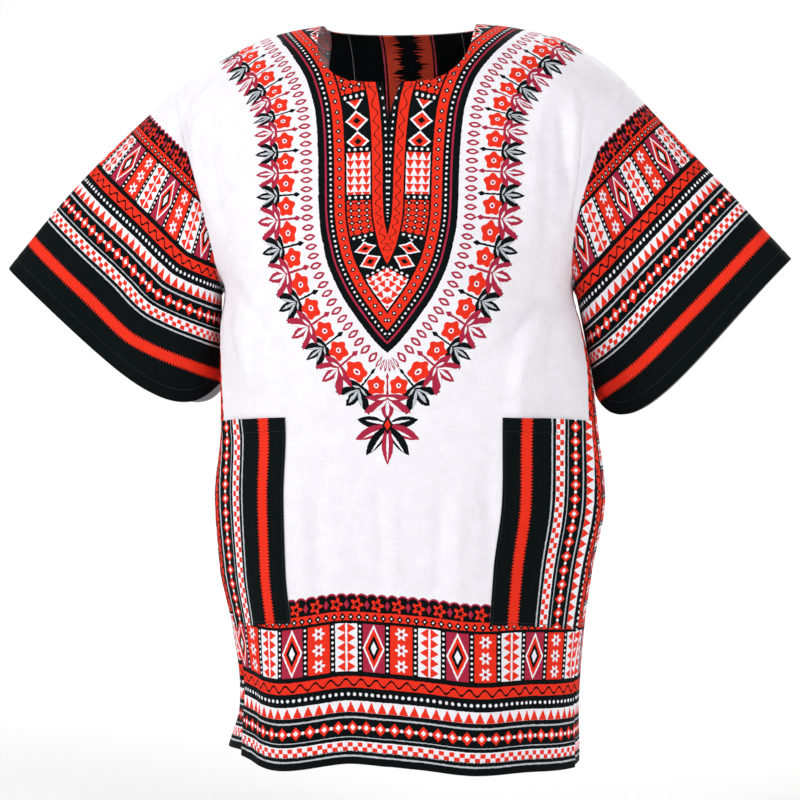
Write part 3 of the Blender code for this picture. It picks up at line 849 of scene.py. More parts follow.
def neck_print(a, d, x0, v):
    """The ornament's colour at a along its outline and d out from it, in mm; x0 and v lie across and down.

    Nested bands run inside the outline. Outside it are a row of seeds, a ring of flowers and sprigs, and a
    spray of leaves below its tip.
    """
    r = add("ADD", d, NECK_REACH)

    def row_at(middle):
        return add("SUBTRACT", r, middle)

    # The nested bands, read from the placket outwards: dots, and a wave on red
    colour = stamped(stripes(r, NECK_BANDS), centred(a, 6.0), row_at(3.2), (flower, 1.0, WHITE))
    off = add("SUBTRACT", row_at(12.0), wave(a, 13.0, 2.4))
    colour = over(colour, add("MULTIPLY", within(off, 0.5), band(r, 7, 17)), BLACK)

    # Panels, 19 to 42 mm out from the placket's middle
    pitch, start, foot = 46.0, 8.0, 19.0
    first, second = in_turn(a, pitch, start)
    x, y = centred(a, 7.6), centred(r, 7.7, foot)
    flowers = stamped(ORANGE, x, y, (flower, 3.5, 4, BLACK), (flower, 0.9, WHITE))
    peaks = over(WHITE, within(y, add("MULTIPLY_ADD", x, 0.5, 1.9)), ORANGE)
    x, y = centred(a, 19.0, start), row_at(30.5)
    nested = stamped(BLACK, x, y, (lozenge, 9.4, 11.2, WHITE), (lozenge, 7.2, 8.6, ORANGE))
    nested = stamped(nested, x, y, (lozenge, 3.0, 3.8, BLACK))
    filled = over(over(nested, first, flowers), second, peaks)
    filled = over(filled, add("GREATER_THAN", add("ABSOLUTE", centred(a, pitch, start)), 20.0), BLACK)
    x, y = centred(a, pitch, start + pitch / 2), centred(r, 5.75, foot)
    colour = over(colour, band(r, foot, 42), stamped(filled, x, y, (flower, 1.4, WHITE)))

    # A chain of small lozenges on red, and dots on the black edge
    x, y = centred(a, 9.0), row_at(49.0)
    colour = stamped(colour, x, y, (lozenge, 2.6, 2.8, BLACK), (flower, 0.8, WHITE))
    colour = stamped(colour, centred(a, 5.2), row_at(57.8), (flower, 1.15, WHITE))

    # Outside the outline: seeds, then dark and crimson sprigs on stems, with a flower between each two
    x, y = centred(a, 9.0), add("SUBTRACT", d, 5.5)
    outside = stamped(WHITE, x, y, (leaf, 0.0, 0.0, 13.0, 3.1, CRIMSON), (leaf, 0.0, 3.0, 7.0, 1.2, WHITE))
    sprig_root = 40.0
    for start, ink, heart in ((0.0, BLACK, GREY), (22.0, CRIMSON, WHITE)):
        x = centred(a, 44.0, start)
        outside = over(outside, add("MULTIPLY", within(x, 0.9), band(d, 22, 46)), ink)
        outside = over(outside, lozenge(x, add("SUBTRACT", d, 22.5), 2.4, 4.4), ink)
        side = add("ABSOLUTE", x)
        for turn, length, half_width in ((0.0, 25.0, 3.6), (0.52, 25.0, 3.4), (1.1, 17.0, 3.0)):
            inner = (leaf, turn, sprig_root + 5.0 * np.cos(turn), length - 9.0, half_width * 0.32, heart)
            outside = stamped(outside, side, d, (leaf, turn, sprig_root, length, half_width, ink), inner)
    x, y = centred(a, 22.0), add("SUBTRACT", d, 33.0)
    outside = stamped(outside, x, y, (flower, 9.6, 5, 0.12, ORANGE))
    outside = stamped(outside, x, y, (flower, 2.4, WHITE), (flower, 1.3, CRIMSON))
    outside = over(outside, add("GREATER_THAN", d, 68.0), WHITE)
    colour = over(colour, add("GREATER_THAN", d, 0.0), outside)

    # A spray of leaves hanging below the tip, over two lozenges
    x, y = add("ABSOLUTE", x0), add("SUBTRACT", v, 398.0)
    spray = (1.75, 30.0, BLACK), (1.15, 34.0, CRIMSON), (0.62, 36.0, BLACK), (0.0, 38.0, CRIMSON)
    for turn, length, ink in spray:
        vein = (leaf, turn, 5.0 * np.cos(turn), length - 8.0, 1.2, WHITE)
        colour = stamped(colour, x, y, (leaf, turn, 0.0, length, 5.6, ink), vein)
    return stamped(colour, x, y, (lozenge, 5.5, 9.0, BLACK), (lozenge, 3.0, 5.5, ORANGE))


# Plain-woven cotton: crossed threads and thicker slubs break the surface up, it has no gloss but a faint
# sheen at grazing angles, and its wrong side shows the print paler
WEAVE_PITCH = 1.4  # real threads are 0.35 mm apart, too fine to show, so four are drawn as one
SLUB_LENGTH = 14.0
SLUB_ACROSS = 0.9
CRUMPLE = 26.0
PATCH_SCALE = 0.045
THREAD_RISE, SLUB_RISE, CRUMPLE_RISE = 0.035, 0.10, 1.6
INK_WAVER = 1.0
WRONG_SIDE_PALER = 0.32


def cotton(name, printed, edges=("border",)):
    """A cotton finish: printed makes its colour from the named UV maps, each as two lengths in mm."""
    material = bpy.data.materials.new(name)
    material.use_nodes = True
    tree = material.node_tree
    shader = tree.nodes["Principled BSDF"]

    def noise(place, scale, detail, out=0):
        return add("TexNoise", place, scale, detail, out=out, noise_dimensions="2D")

    def lengths(map_name, waver=0.0):
        place = add("VectorMath.MULTIPLY", add("UVMap", tree=tree, uv_map=map_name), (1 / MM, 1 / MM, 0.0))
        if waver:
            shift = add("VectorMath.SUBTRACT", noise(place, 0.35, 2.0, out=1), (0.5, 0.5, 0.5))
            place = add("VectorMath.ADD", place, add("VectorMath.MULTIPLY", shift, (waver, waver, 0.0)))
        return place, add("SeparateXYZ", place), add("SeparateXYZ", place, out=1)

    # The print's edges waver a little, as ink does in the threads
    colour = printed(*(part for map_name in edges for part in lengths(map_name, INK_WAVER)[1:]))
    weave, s, t = lengths("weave")

    # Uneven ink and yarn: soft lighter and darker patches, and streaks along the threads
    along, across = (SLUB_ACROSS, 1 / SLUB_LENGTH, 0.0), (1 / SLUB_LENGTH, SLUB_ACROSS, 0.0)
    streaks = [add("VectorMath.MULTIPLY", weave, stretch) for stretch in (along, across)]
    slub = add("ADD", *(noise(place, 1.0, 1.0) for place in streaks))
    shade = add("MULTIPLY_ADD", noise(weave, PATCH_SCALE, 3.0), 0.10, 0.95)
    shade = add("ADD", shade, add("MULTIPLY_ADD", slub, 0.10, -0.10))
    colour = add("Mix.RGBA", 1.0, colour, add("CombineXYZ", shade, shade, shade), blend_type="MULTIPLY")
    reverse = add("Attribute", tree=tree, attribute_name="reverse", out=2)
    colour = over(colour, add("MULTIPLY", reverse, WRONG_SIDE_PALER), WHITE)
    tree.links.new(colour, shader.inputs["Base Color"])
    shader.inputs["Roughness"].default_value = 0.86
    shader.inputs["IOR"].default_value = 1.45
    shader.inputs["Specular IOR Level"].default_value = 0.08
    shader.inputs["Sheen Weight"].default_value = 0.02
    shader.inputs["Sheen Roughness"].default_value = 0.5

    # Height in millimetres: threads over and under, slubs, and a soft crumple
    threads = add("MULTIPLY", add("MULTIPLY", wave(s, WEAVE_PITCH), wave(t, WEAVE_PITCH)), THREAD_RISE)
    height = add("MULTIPLY_ADD", slub, SLUB_RISE, threads)
    height = add("MULTIPLY_ADD", noise(weave, 1 / CRUMPLE, 2.5), CRUMPLE_RISE, height)
    bump = tree.nodes.new("ShaderNodeBump")
    bump.inputs["Strength"].default_value = 0.8
    bump.inputs["Distance"].default_value = MM
    tree.links.new(height, bump.inputs["Height"])
    tree.links.new(bump.outputs[0], shader.inputs["Normal"])
    return material


def body_print(neck_a, neck_d, hem_s, hem_t, edge_s, edge_t, x0, v):
    """The whole panel: the hem's border, on the back also one up each side, and the neck ornament above."""
    at_side = add("MULTIPLY", add("GREATER_THAN", hem_t, 193.0), add("LESS_THAN", edge_t, 213.0))
    s, t = add("Mix.FLOAT", at_side, hem_s, edge_s), add("Mix.FLOAT", at_side, hem_t, edge_t)
    ornament = neck_print(neck_a, neck_d, x0, v)
    return over(border_print(s, t), add("GREATER_THAN", t, 215.0), ornament)


printed_cotton = cotton("woven_cotton_printed", body_print, edges=("neck", "border", "edge", "weave"))

HEM_BORDER_START = 54.0
HEM_BORDER_SCALE = 0.951
SIDE_BORDER_START = 125.0
OFF_BORDER = 900.0
BACK_WEAVE_START = 2000.0  # keeps the ornament's spray off the back, and its weave apart from the front's
SIDE_BORDER_DROP = 250.0

# A seam's furrow with a low ridge beside it, and the furrows that stitching draws in a hem, vent and neck
SEAM_DIP, SHOULDER_DIP, DIP_SPREAD = 1.1, 1.0, 2.2
SEAM_RIDGE, SHOULDER_RIDGE, RIDGE_SPREAD, RIDGE_PLACE = 0.45, 0.4, 2.6, 5.5
HEM_DIP, HEM_DIP_SPREAD = 0.55, 1.3
VENT_DIP, NECK_DIP = 0.5, 0.45
SIDE_FADE, TOP_FADE = 9, 16
HEM_PUCKER, CUFF_PUCKER, SEAM_PUCKER, MOUTH_PUCKER = 0.55, 0.5, 0.35, 0.3


def turned_in(from_edge, turn):
    """1 where the cloth is turned in and double, and 0 further from the edge than the turn."""
    return 1 - ease((from_edge - turn + 1) / 2)


def panel_relief(made, creases):
    """Creases, the sunk seams, and the stitched hems with the small waves that stitching leaves."""
    from_side, along = side_runs(made.points)
    down = run_along(made.points)
    from_hem = down[-1] - down
    sewn_side = 1 - ease((made.drop - VENT_DROP) / 10)
    relief = creased(made.out, made.drop, creases) * ease(from_side / SIDE_FADE) * ease(down / TOP_FADE)
    ridge = SEAM_RIDGE * bell(from_side - RIDGE_PLACE, RIDGE_SPREAD)
    relief += sewn_side * (ridge - SEAM_DIP * bell(from_side, DIP_SPREAD))
    relief += pucker(down, from_side - 5, 5, SEAM_PUCKER) * sewn_side
    relief -= (1 - sewn_side) * VENT_DIP * bell(from_side - VENT_TURN, 1.2)
    shoulder = ease((np.abs(made.out[0]) - NECK_HALF) / 4)
    ridge = SHOULDER_RIDGE * bell(down - RIDGE_PLACE, RIDGE_SPREAD)
    relief += shoulder * (ridge - SHOULDER_DIP * bell(down, DIP_SPREAD))
    relief -= (1 - shoulder) * NECK_DIP * bell(down - NECK_TURN, 1.1)
    relief -= HEM_DIP * bell(from_hem - HEM_TURN, HEM_DIP_SPREAD)
    return relief + pucker(along, from_hem - HEM_TURN, 9, HEM_PUCKER)


def make_panel(name, made, normal, creases, outline, depth):
    """One panel's shell, with its turned edges thicker inside and its four maps."""
    points = made.points + normal * panel_relief(made, creases)[..., None]
    from_side, along = side_runs(points)
    down = run_along(points)
    down = down - down[YOKE - 1] + UNDERARM_DROP
    from_hem = down[-1] - down
    edge_t, flat_v = np.full(down.shape, OFF_BORDER), down
    kept = np.ones((len(down) - 1, down.shape[1] - 1), bool)
    if made is front:
        kept[:SLIT_ROWS, STRIP_COLUMNS] = False
    else:
        edge_t = np.where(made.drop > SIDE_BORDER_DROP, SIDE_BORDER_START + from_side, OFF_BORDER)
        flat_v = down + BACK_WEAVE_START
    maps = {
        "neck": ornament_map(made, outline, depth),
        "border": uv_cells(along, HEM_BORDER_START + HEM_BORDER_SCALE * from_hem),
        "edge": uv_cells(down, edge_t),
        "weave": uv_cells(along, flat_v),
    }
    vent = turned_in(from_side, VENT_TURN) * ease((made.drop - VENT_DROP + 4) / 8)
    turned = np.maximum(turned_in(from_hem, HEM_TURN), vent)[..., None]
    half_in = CLOTH / 2 + (TURNED_CLOTH - CLOTH) * turned
    normal = grid_normals(points)[0]
    return shell(name, points, normal, CLOTH / 2, half_in, printed_cotton, maps, kept=kept), points, normal


front, back = (panel(face, PANEL_ROWS, columns_from(HALF_PLACES)) for face in (FRONT, BACK))
normals = grid_normals(front.points, back.points)
front_piece, front_points, front_normal = make_panel(
    "front_panel", front, normals[0], FRONT_CREASES, FRONT_ORNAMENT, 470
)
back_piece, back_points, back_normal = make_panel(
    "back_panel", back, normals[1], BACK_CREASES, BACK_ORNAMENT, 190
)
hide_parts("front")
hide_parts("back")


# Sleeves: one wide short panel each of the same cotton, cut so that the printed border runs round the cuff.
# Each is folded over the arm from the shoulder line, closed under the arm and sewn into the armhole, and
# its cuff is turned inside and stitched.
CUFF_HALF_DEPTH, CUFF_BACK_SHIFT, CUFF_ROUNDNESS = 45.0, 25.0, 2.4
TOP_BULGE = {"right": 5.6, "left": 1.05}
UNDERARM_FLARE, UNDERARM_FLARE_RUN = 5.0, 0.015
SLEEVE_HEAD_PUFF = 1.3

# The cuff as seen from the front: a curve from its top to its underarm end, through two pulls
Cuff = namedtuple("Cuff", "out drop")
CUFFS = {
    "right": (Cuff(399, 240), Cuff(303, 322), Cuff(222, 420), Cuff(184, 355)),
    "left": (Cuff(387, 235), Cuff(301, 320), Cuff(228, 437), Cuff(193, 367)),
}

# The printed border's lower edge: along the cuff, and on where the cloth turns under the arm
BorderLine = namedtuple("BorderLine", "out drop")
BORDER_LINES = {
    "right": (
        BorderLine(120, 409),
        BorderLine(151, 399),
        BorderLine(216, 375),
        BorderLine(283, 344),
        BorderLine(341, 292),
        BorderLine(399, 238),
    ),
    "left": (
        BorderLine(130, 452),
        BorderLine(170, 428),
        BorderLine(222, 396),
        BorderLine(252, 375),
        BorderLine(314, 314),
        BorderLine(389, 233),
    ),
}

# Folds along a sleeve: round is 0 on top and 1 under the arm, along is 0 at the armhole and 1 at the cuff
SleeveFold = namedtuple("SleeveFold", "round spread height along reach")
SLEEVE_FOLDS = {
    "right": (
        SleeveFold(0.30, 0.10, -7, 0.62, 0.42),
        SleeveFold(0.52, 0.12, 6, 0.80, 0.50),
        SleeveFold(0.80, 0.10, -6, 0.45, 0.40),
    ),
    "left": (
        SleeveFold(0.34, 0.11, 6, 0.55, 0.45),
        SleeveFold(0.60, 0.11, -7, 0.50, 0.45),
        SleeveFold(0.82, 0.09, -6, 0.70, 0.40),
    ),
}
SLEEVE_CREASES = {
    ("right", FRONT): (
        Crease(214, 96, 290, 214, 7, 7.0, -2.5),
        Crease(222, 84, 316, 196, 7, 10.0, 2.2),
        Crease(196, 214, 300, 262, -12, 7.0, -3.6),
        Crease(200, 236, 306, 286, -10, 9.0, 2.7),
        Crease(196, 268, 268, 346, 9, 8.0, -2.8),
        Crease(206, 300, 236, 380, 6, 8.0, 2.2),
        Crease(318, 190, 352, 270, 4, 9.0, -1.7),
        Crease(284, 190, 304, 202, 0, 4.0, -2.2),
    ),
    ("right", BACK): (
        Crease(210, 110, 300, 230, -7, 9.0, -2.8),
        Crease(220, 92, 326, 206, -7, 11.0, 2.4),
        Crease(194, 220, 296, 300, 10, 9.0, -3.4),
        Crease(202, 262, 262, 356, 8, 9.0, 2.5),
        Crease(300, 220, 342, 286, 5, 10.0, -2.0),
    ),
    ("left", FRONT): (
        Crease(206, 100, 282, 210, 8, 7.0, -3.1),
        Crease(216, 88, 306, 190, 8, 10.0, 2.5),
        Crease(184, 214, 282, 282, -12, 8.0, -3.9),
        Crease(190, 240, 290, 306, -10, 9.0, 2.8),
        Crease(196, 282, 248, 366, 8, 8.0, -2.7),
        Crease(300, 180, 346, 262, 5, 10.0, -2.1),
        Crease(322, 170, 366, 250, 4, 9.0, 1.7),
    ),
    ("left", BACK): (
        Crease(204, 112, 286, 232, -8, 9.0, -2.9),
        Crease(214, 94, 310, 204, -7, 11.0, 2.5),
        Crease(186, 222, 284, 306, 10, 9.0, -3.2),
        Crease(196, 270, 250, 372, 8, 9.0, 2.4),
        Crease(296, 210, 338, 284, 5, 10.0, -2.0),
    ),
}
SLEEVE_ROWS = np.concatenate(
    [np.linspace(0, 0.07, 9), np.linspace(0.07, 0.9, 57)[1:], np.linspace(0.9, 1, 17)[1:]]
)


def curve_point(pulls, t):
    """A cubic Bezier curve through a cuff's four rows, as (out, drop)."""
    t = np.asarray(t)[..., None]
    a, b, c, d = (np.array(pull, float) for pull in pulls)
    return (1 - t) ** 3 * a + 3 * t * (1 - t) ** 2 * b + 3 * t**2 * (1 - t) * c + t**3 * d


def above_border(side, points):
    """How far each point lies above the border's lower edge, seen from the front; negative below it."""
    lines = BORDER_LINES[side]
    line_out = np.linspace(lines[0].out, lines[-1].out, 400)
    line_drop = column(lines, "drop", line_out)
    out, drop = np.abs(points[..., 0]), -points[..., 2]
    spots = np.stack([out, drop], axis=-1).reshape(-1, 2)
    off = nearest_on(np.stack([line_out, line_drop], axis=-1), spots)[0].reshape(out.shape)
    return np.where(drop > np.interp(out, line_out, line_drop), -off, off)


def make_sleeve(side, sign, front_edge, back_edge, edge_normals):
    """A sleeve: rings from the armhole, the panels' own edge, straight to the cuff but for its folds.

    Its first and last columns are the same line on top; the first half of the columns is the front.
    """
    half = len(front_edge) - 1
    armhole = np.concatenate([front_edge, back_edge[-2::-1]])
    shares = [run_along(edge) / run_along(edge)[-1] for edge in (front_edge, back_edge)]
    around = np.concatenate([shares[0], shares[1][-2::-1]])
    face = np.concatenate([np.full(half + 1, FRONT), np.full(half, BACK)])
    flat = curve_point(CUFFS[side], around)
    from_top = np.clip(np.abs(2 * around - 1), 0, 1)
    bow = CUFF_HALF_DEPTH * (1 - from_top**CUFF_ROUNDNESS) ** (1 / CUFF_ROUNDNESS)
    cuff = np.stack([sign * flat[:, 0], CUFF_BACK_SHIFT * around + face * bow, -flat[:, 1]], axis=-1)
    share = SLEEVE_ROWS[:, None]
    points = armhole * (1 - share[..., None]) + cuff * share[..., None]
    bulge = TOP_BULGE[side] * np.sin(np.pi * share) * (1 - around) ** 2
    leaving = (1 - np.exp(-share / UNDERARM_FLARE_RUN)) * (1 - share)
    flare = UNDERARM_FLARE * leaving * ease(around / 0.4 - 1.5)
    points[..., 0] += sign * (bulge + flare)
    points[..., 2] += bulge
    for fold in SLEEVE_FOLDS[side]:
        along = ease(1 - np.abs(share - fold.along) / fold.reach)
        across = bell(around - fold.round, fold.spread)
        points[..., 1] += face * fold.height * along * across * np.sin(np.pi * around)

    cuff_run = run_along(cuff)
    cuff_run = np.minimum(cuff_run, cuff_run[-1] - cuff_run)
    if sign > 0:
        points, edge_normals = points[:, ::-1], edge_normals[::-1]
        around, face, cuff_run = around[::-1], face[::-1], cuff_run[::-1]
    from_armhole, from_cuff = run_along(points), run_along(points[::-1])[::-1]
    near = np.exp(-from_armhole / 5)[..., None]

    def normals_of(points):
        found = grid_normals(points[:, :-1], ring=True)[0]
        return unit(np.concatenate([found, found[:, :1]], axis=1) * (1 - near) + edge_normals * near)

    out, drop = np.abs(points[..., 0]), -points[..., 2]
    folds = [creased(out, drop, SLEEVE_CREASES[side, fold_face]) for fold_face in (FRONT, BACK)]
    relief = np.where(face == FRONT, *folds)
    relief *= ease(from_armhole / TOP_FADE) * np.sin(np.pi * np.clip(around, 0.02, 0.98)) ** 0.5
    relief += SLEEVE_HEAD_PUFF * (1 - np.exp(-from_armhole / 2.5)) * np.exp(-from_armhole / 14)
    relief -= HEM_DIP * bell(from_cuff - HEM_TURN, HEM_DIP_SPREAD)
    relief += pucker(face * cuff_run, from_cuff - HEM_TURN, 9, CUFF_PUCKER)
    points = points + normals_of(points) * relief[..., None]
    normal = normals_of(points)

    # The front half's map runs one way from the top and the back half's the other, to meet under the arm
    from_border = above_border(side, points)
    halves = [(slice(0, half + 1), -sign), (slice(half, None), sign)]
    border = [uv_cells(way * cuff_run[part], from_border[:, part]) for part, way in halves]
    border = np.concatenate(border, axis=1)
    half_in = CLOTH / 2 + (TURNED_CLOTH - CLOTH) * turned_in(from_cuff, HEM_TURN)
    made = shell(
        "sleeve_" + side + "_cloth",
        points[:, :-1],
        normal[:, :-1],
        CLOTH / 2,
        half_in[:, :-1, None],
        bordered_cotton,
        {"border": border, "weave": border},
        ring=True,
    )
    return made, points, normal


bordered_cotton = cotton("woven_cotton_bordered", border_print)
ARMHOLE_EDGES = {
    "right": (-1, np.s_[:YOKE, 0], np.s_[:YOKE, -1]),
    "left": (1, np.s_[:YOKE, -1], np.s_[:YOKE, 0]),
}
sleeves = {}
for side, (sign, front_at, back_at) in ARMHOLE_EDGES.items():
    edge_normals = np.concatenate([front_normal[front_at], back_normal[back_at][-2::-1]])
    sleeves[side] = make_sleeve(side, sign, front_points[front_at], back_points[back_at], edge_normals)
    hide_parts("sleeve_" + side)


# Patch pockets: two pieces of the border cloth with its bands upright, laid on the front from their inner
# edge to the side seam. The mouth on top is turned in and stitched; the inner edge and foot are sewn down.
POCKET_LIFT = CLOTH + 0.3
MOUTH_STAND_OFF = 2.2
MOUTH_TURN = 14.0
MOUTH_DOUBLE = 0.35
POCKET_BORDER_START = 12.0

pocket_start = YOKE + len(PANEL_ROWS.chest)
pocket_rows = slice(pocket_start - 1, pocket_start + len(PANEL_ROWS.pocket))
pocket_columns = len(HALF_PLACES) - int(np.argmax(HALF_PLACES >= POCKET_PLACE))
pockets = {}
for side, columns in (("right", slice(None, pocket_columns)), ("left", slice(-pocket_columns, None))):
    points, normal = front_points[pocket_rows, columns], front_normal[pocket_rows, columns]
    run = run_along(points, axis=1)
    from_seam, from_inner = (run, run[:, -1:] - run) if side == "right" else (run[:, -1:] - run, run)
    down = run_along(points)
    open_mouth = np.sin(np.pi * np.clip(from_inner / from_inner.max(), 0, 1)) * np.exp(-down / 45)
    lift = POCKET_LIFT + MOUTH_STAND_OFF * open_mouth
    lift += pucker(from_inner, down - MOUTH_TURN, 7, MOUTH_PUCKER) - 0.35 * bell(down - MOUTH_TURN, 1.2)
    lift += 0.25 * bell(from_inner - 6, 2.5) - 0.3 * bell(from_inner - 2.5, 1.0)
    lift += 0.9 * bell(from_seam - 7, 4) * ease(from_seam / 4)
    points = points + normal * lift[..., None]
    normal = grid_normals(points)[0]
    half_out = CLOTH / 2 + MOUTH_DOUBLE * turned_in(down, MOUTH_TURN)[..., None]
    border = uv_cells(down, POCKET_BORDER_START + from_inner)
    maps = {"border": border, "weave": border}
    pocket = shell("pocket_" + side + "_cloth", points, normal, half_out, CLOTH / 2, bordered_cotton, maps)
    pockets[side] = (pocket, points, normal)
    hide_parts("pocket_" + side)


# Neck facing: a piece of the printed cotton inside the back of the neck, dark with two combed red stripes,
# sewn in with two rows of white thread.
FACING_SHARE = 0.327
# The stripes' inks are brighter than the print's own red and crimson: partly the print's colour and partly
# painted light, lifting the shade that falls inside the neck.
ORANGE_WITH_PAINTED_LIGHT = linear("#FF5A3E")
CRIMSON_WITH_PAINTED_LIGHT = linear("#E4596E")
FACING_LIFT = CLOTH + 0.3


def facing_print(s, t):
    """Black cloth with two combed red stripes down it, and a paler line beside each, their inks brightened
    with painted light.
    """
    colour = BLACK
    place = add("CombineXYZ", add("MULTIPLY", t, 0.42), add("MULTIPLY", s, 0.02), 0.0)
    tooth = add("TexNoise", place, 1.0, 1.0, noise_dimensions="2D")
    reach = add("ADD", add("MULTIPLY", add("SUBTRACT", tooth, 0.36), 26.0), 5.0)
    for middle, toward in ((-19.5, 1.0), (21.0, -1.0)):
        x = add("MULTIPLY", add("SUBTRACT", s, middle), toward)
        stripe = add("MULTIPLY", add("LESS_THAN", x, reach), add("GREATER_THAN", x, -3.5))
        colour = over(over(colour, stripe, ORANGE_WITH_PAINTED_LIGHT), band(x, -7.0, -5.4), CRIMSON_WITH_PAINTED_LIGHT)
    return colour


facing_cotton = cotton("woven_cotton_facing", facing_print, edges=("weave",))
facing_rows = int(np.argmax(PANEL_ROWS.yoke > FACING_SHARE))
middle_column = back_points.shape[1] // 2
facing_half = int(np.argmax(HALF_PLACES >= FACING_PLACE)) + 2
block = np.s_[:facing_rows, middle_column - facing_half : middle_column + facing_half + 1]
down, across = run_along(back_points[block]), side_runs(back_points[block])[1]
facing_normal = back_normal[block]
facing_points = back_points[block] - facing_normal * (FACING_LIFT + 0.4 * ease(down / 60))[..., None]
facing = shell(
    "neck_facing_cloth",
    facing_points,
    facing_normal,
    CLOTH / 2,
    CLOTH / 2,
    facing_cotton,
    {"weave": uv_cells(-across, down)},
    reverse=False,
)
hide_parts("neck_facing")


# Sewing thread: machine stitches that hold the hem, cuffs, vents, pockets, neck edge and facing. The dark
# thread sinks into the dark cloth; two rows of white thread show on the facing inside the neck.
STITCH_PITCH, STITCH_LENGTH, STITCH_RADIUS = 3.4, 2.7, 0.26
STITCH_RISE = 0.16


def turned_rows(order, *grids):
    """Grids with their columns in that order, and then rows and columns changed over."""
    return [grid[:, order].swapaxes(0, 1) for grid in grids]


def traced(points, normal, across, level, lift=CLOTH / 2):
    """(points, normals) of the line on a skin where across, falling down each column, passes a level."""
    below = np.clip(np.argmax(across <= level, axis=0), 1, len(across) - 1)
    at = np.arange(points.shape[1])
    high, low = across[below - 1, at], across[below, at]
    part = np.clip((high - level) / (high - low), 0, 1)[:, None]
    place = points[below - 1, at] * (1 - part) + points[below, at] * part
    facing_out = normal[below - 1, at] * (1 - part) + normal[below, at] * part
    return place + facing_out * lift, facing_out


def stitches(lines):
    """Stitches along lines, each a rod of height rise (1 - u^2), its radius going as (1 - u^4)^(1/2)."""
    places, ways, tops = [], [], []
    for line, normal in lines:
        run = run_along(line)
        middle = np.arange(STITCH_PITCH / 2, run[-1], STITCH_PITCH)

        def read(values, at):
            return np.stack([np.interp(at, run, values[:, k]) for k in range(3)], axis=-1)

        places.append(read(line, middle))
        ways.append(read(line, middle + 0.8) - read(line, middle - 0.8))
        tops.append(read(normal, middle))
    place, way, top = (np.concatenate(part)[:, None, None] for part in (places, ways, tops))
    way = unit(way)
    side = unit(np.cross(way, top))
    top = np.cross(side, way)
    u = np.array([-1, -0.9, -0.4, 0.4, 0.9, 1])[:, None, None]
    angle = np.linspace(0, 2 * np.pi, 6, endpoint=False)[None, :, None]
    radius = STITCH_RADIUS * np.sqrt(1.04 - u**4)
    rise = STITCH_RISE * (1 - u**2)
    return (
        place
        + way * (u * STITCH_LENGTH / 2)
        + side * radius * np.cos(angle)
        + top * (rise + radius * np.sin(angle))
    )


def sewn(name, lines, colour):
    """One mesh of all the stitches along lines, in thread of one colour."""
    rods = stitches(lines)
    count, rings, sides = rods.shape[:3]
    number = np.arange(rods[..., 0].size).reshape(count, rings, sides)
    number = np.concatenate([number, number[:, :, :1]], axis=2)
    a, b = number[:, :-1, :-1], number[:, :-1, 1:]
    c, d = number[:, 1:, 1:], number[:, 1:, :-1]
    faces = np.stack([a, b, c, d], axis=-1).reshape(-1, 4).tolist()
    faces += number[:, 0, -2::-1].tolist() + number[:, -1, :-1].tolist()
    mesh = bpy.data.meshes.new(name)
    mesh.from_pydata(rods.reshape(-1, 3) * MM, [], faces)
    mesh.shade_smooth()
    thread = bpy.data.materials.new(name)
    thread.use_nodes = True
    shader = thread.node_tree.nodes["Principled BSDF"]
    # Painted shade: the grooves between two plies show as darker slanting lines across each stitch
    place = add("TexCoord", tree=thread.node_tree, out=3)
    ply_groove_painted_shade = add("TexWave", place, 900.0, 0.0, bands_direction="DIAGONAL")
    shade = over([0.6 * part for part in colour[:3]] + [1], ply_groove_painted_shade, colour)
    thread.node_tree.links.new(shade, shader.inputs["Base Color"])
    shader.inputs["Roughness"].default_value = 0.6
    shader.inputs["IOR"].default_value = 1.5
    mesh.materials.append(thread)
    made = bpy.data.objects.new(name, mesh)
    bpy.context.scene.collection.objects.link(made)
    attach(made, "root")
    return made


FORWARD, BACKWARD = slice(None), slice(None, None, -1)
dark_lines = []
middle = front_points.shape[1] // 2
for made, points, normal in ((front, front_points, front_normal), (back, back_points, back_normal)):
    down = run_along(points)
    dark_lines.append(traced(points, normal, down[-1] - down, HEM_TURN - 0.4))
    neck_columns = np.flatnonzero(np.abs(made.out[0]) < NECK_HALF + 0.5)
    halves = [neck_columns]
    if made is front:
        halves = neck_columns[neck_columns < middle - 1], neck_columns[neck_columns > middle + 1]
    for half in halves:
        dark_lines.append(traced(points[:, half], normal[:, half], -down[:, half], -(NECK_TURN - 0.8)))
    vent_rows = np.flatnonzero(made.drop[:, 0] > VENT_DROP + 2)
    run = run_along(points, axis=1)
    for from_side, order in ((run, BACKWARD), (run[:, -1:] - run, FORWARD)):
        grids = (part[vent_rows] for part in (points, normal, from_side))
        dark_lines.append(traced(*turned_rows(order, *grids), VENT_TURN - 0.8))

SLIT_STITCH, SLIT_COLUMNS = 2.6, 40
for columns in (slice(middle - 1, None, -1), slice(middle + 1, None)):
    points = front_points[: SLIT_ROWS + 1, columns][:, :SLIT_COLUMNS]
    normal = front_normal[: SLIT_ROWS + 1, columns][:, :SLIT_COLUMNS]
    grids = turned_rows(FORWARD, points, normal, -run_along(points, axis=1))
    dark_lines.append(traced(*grids, -SLIT_STITCH))

for made, points, normal in sleeves.values():
    dark_lines.append(traced(points, normal, run_along(points[::-1])[::-1], HEM_TURN - 0.4))
for side, (made, points, normal) in pockets.items():
    down = run_along(points)
    dark_lines.append(traced(points, normal, -down, -(MOUTH_TURN - 0.6)))
    dark_lines.append(traced(points, normal, down[-1] - down, 2.6))
    run = run_along(points, axis=1)
    from_inner, order = (run[:, -1:] - run, FORWARD) if side == "right" else (run, BACKWARD)
    dark_lines.append(traced(*turned_rows(order, points, normal, from_inner), 2.5))

FACING_STITCH = 58.0  # from the middle of the back
pale_lines = []
for toward, order in ((-1, FORWARD), (1, BACKWARD)):
    grids = turned_rows(order, facing_points, facing_normal, toward * side_runs(facing_points)[1])
    line, normal = traced(*grids, FACING_STITCH, -CLOTH / 2)
    pale_lines.append((line, -normal))
sewn("dark_thread", dark_lines, linear("#1B2326"))
sewn("white_thread", pale_lines, linear("#E9E7E4"))


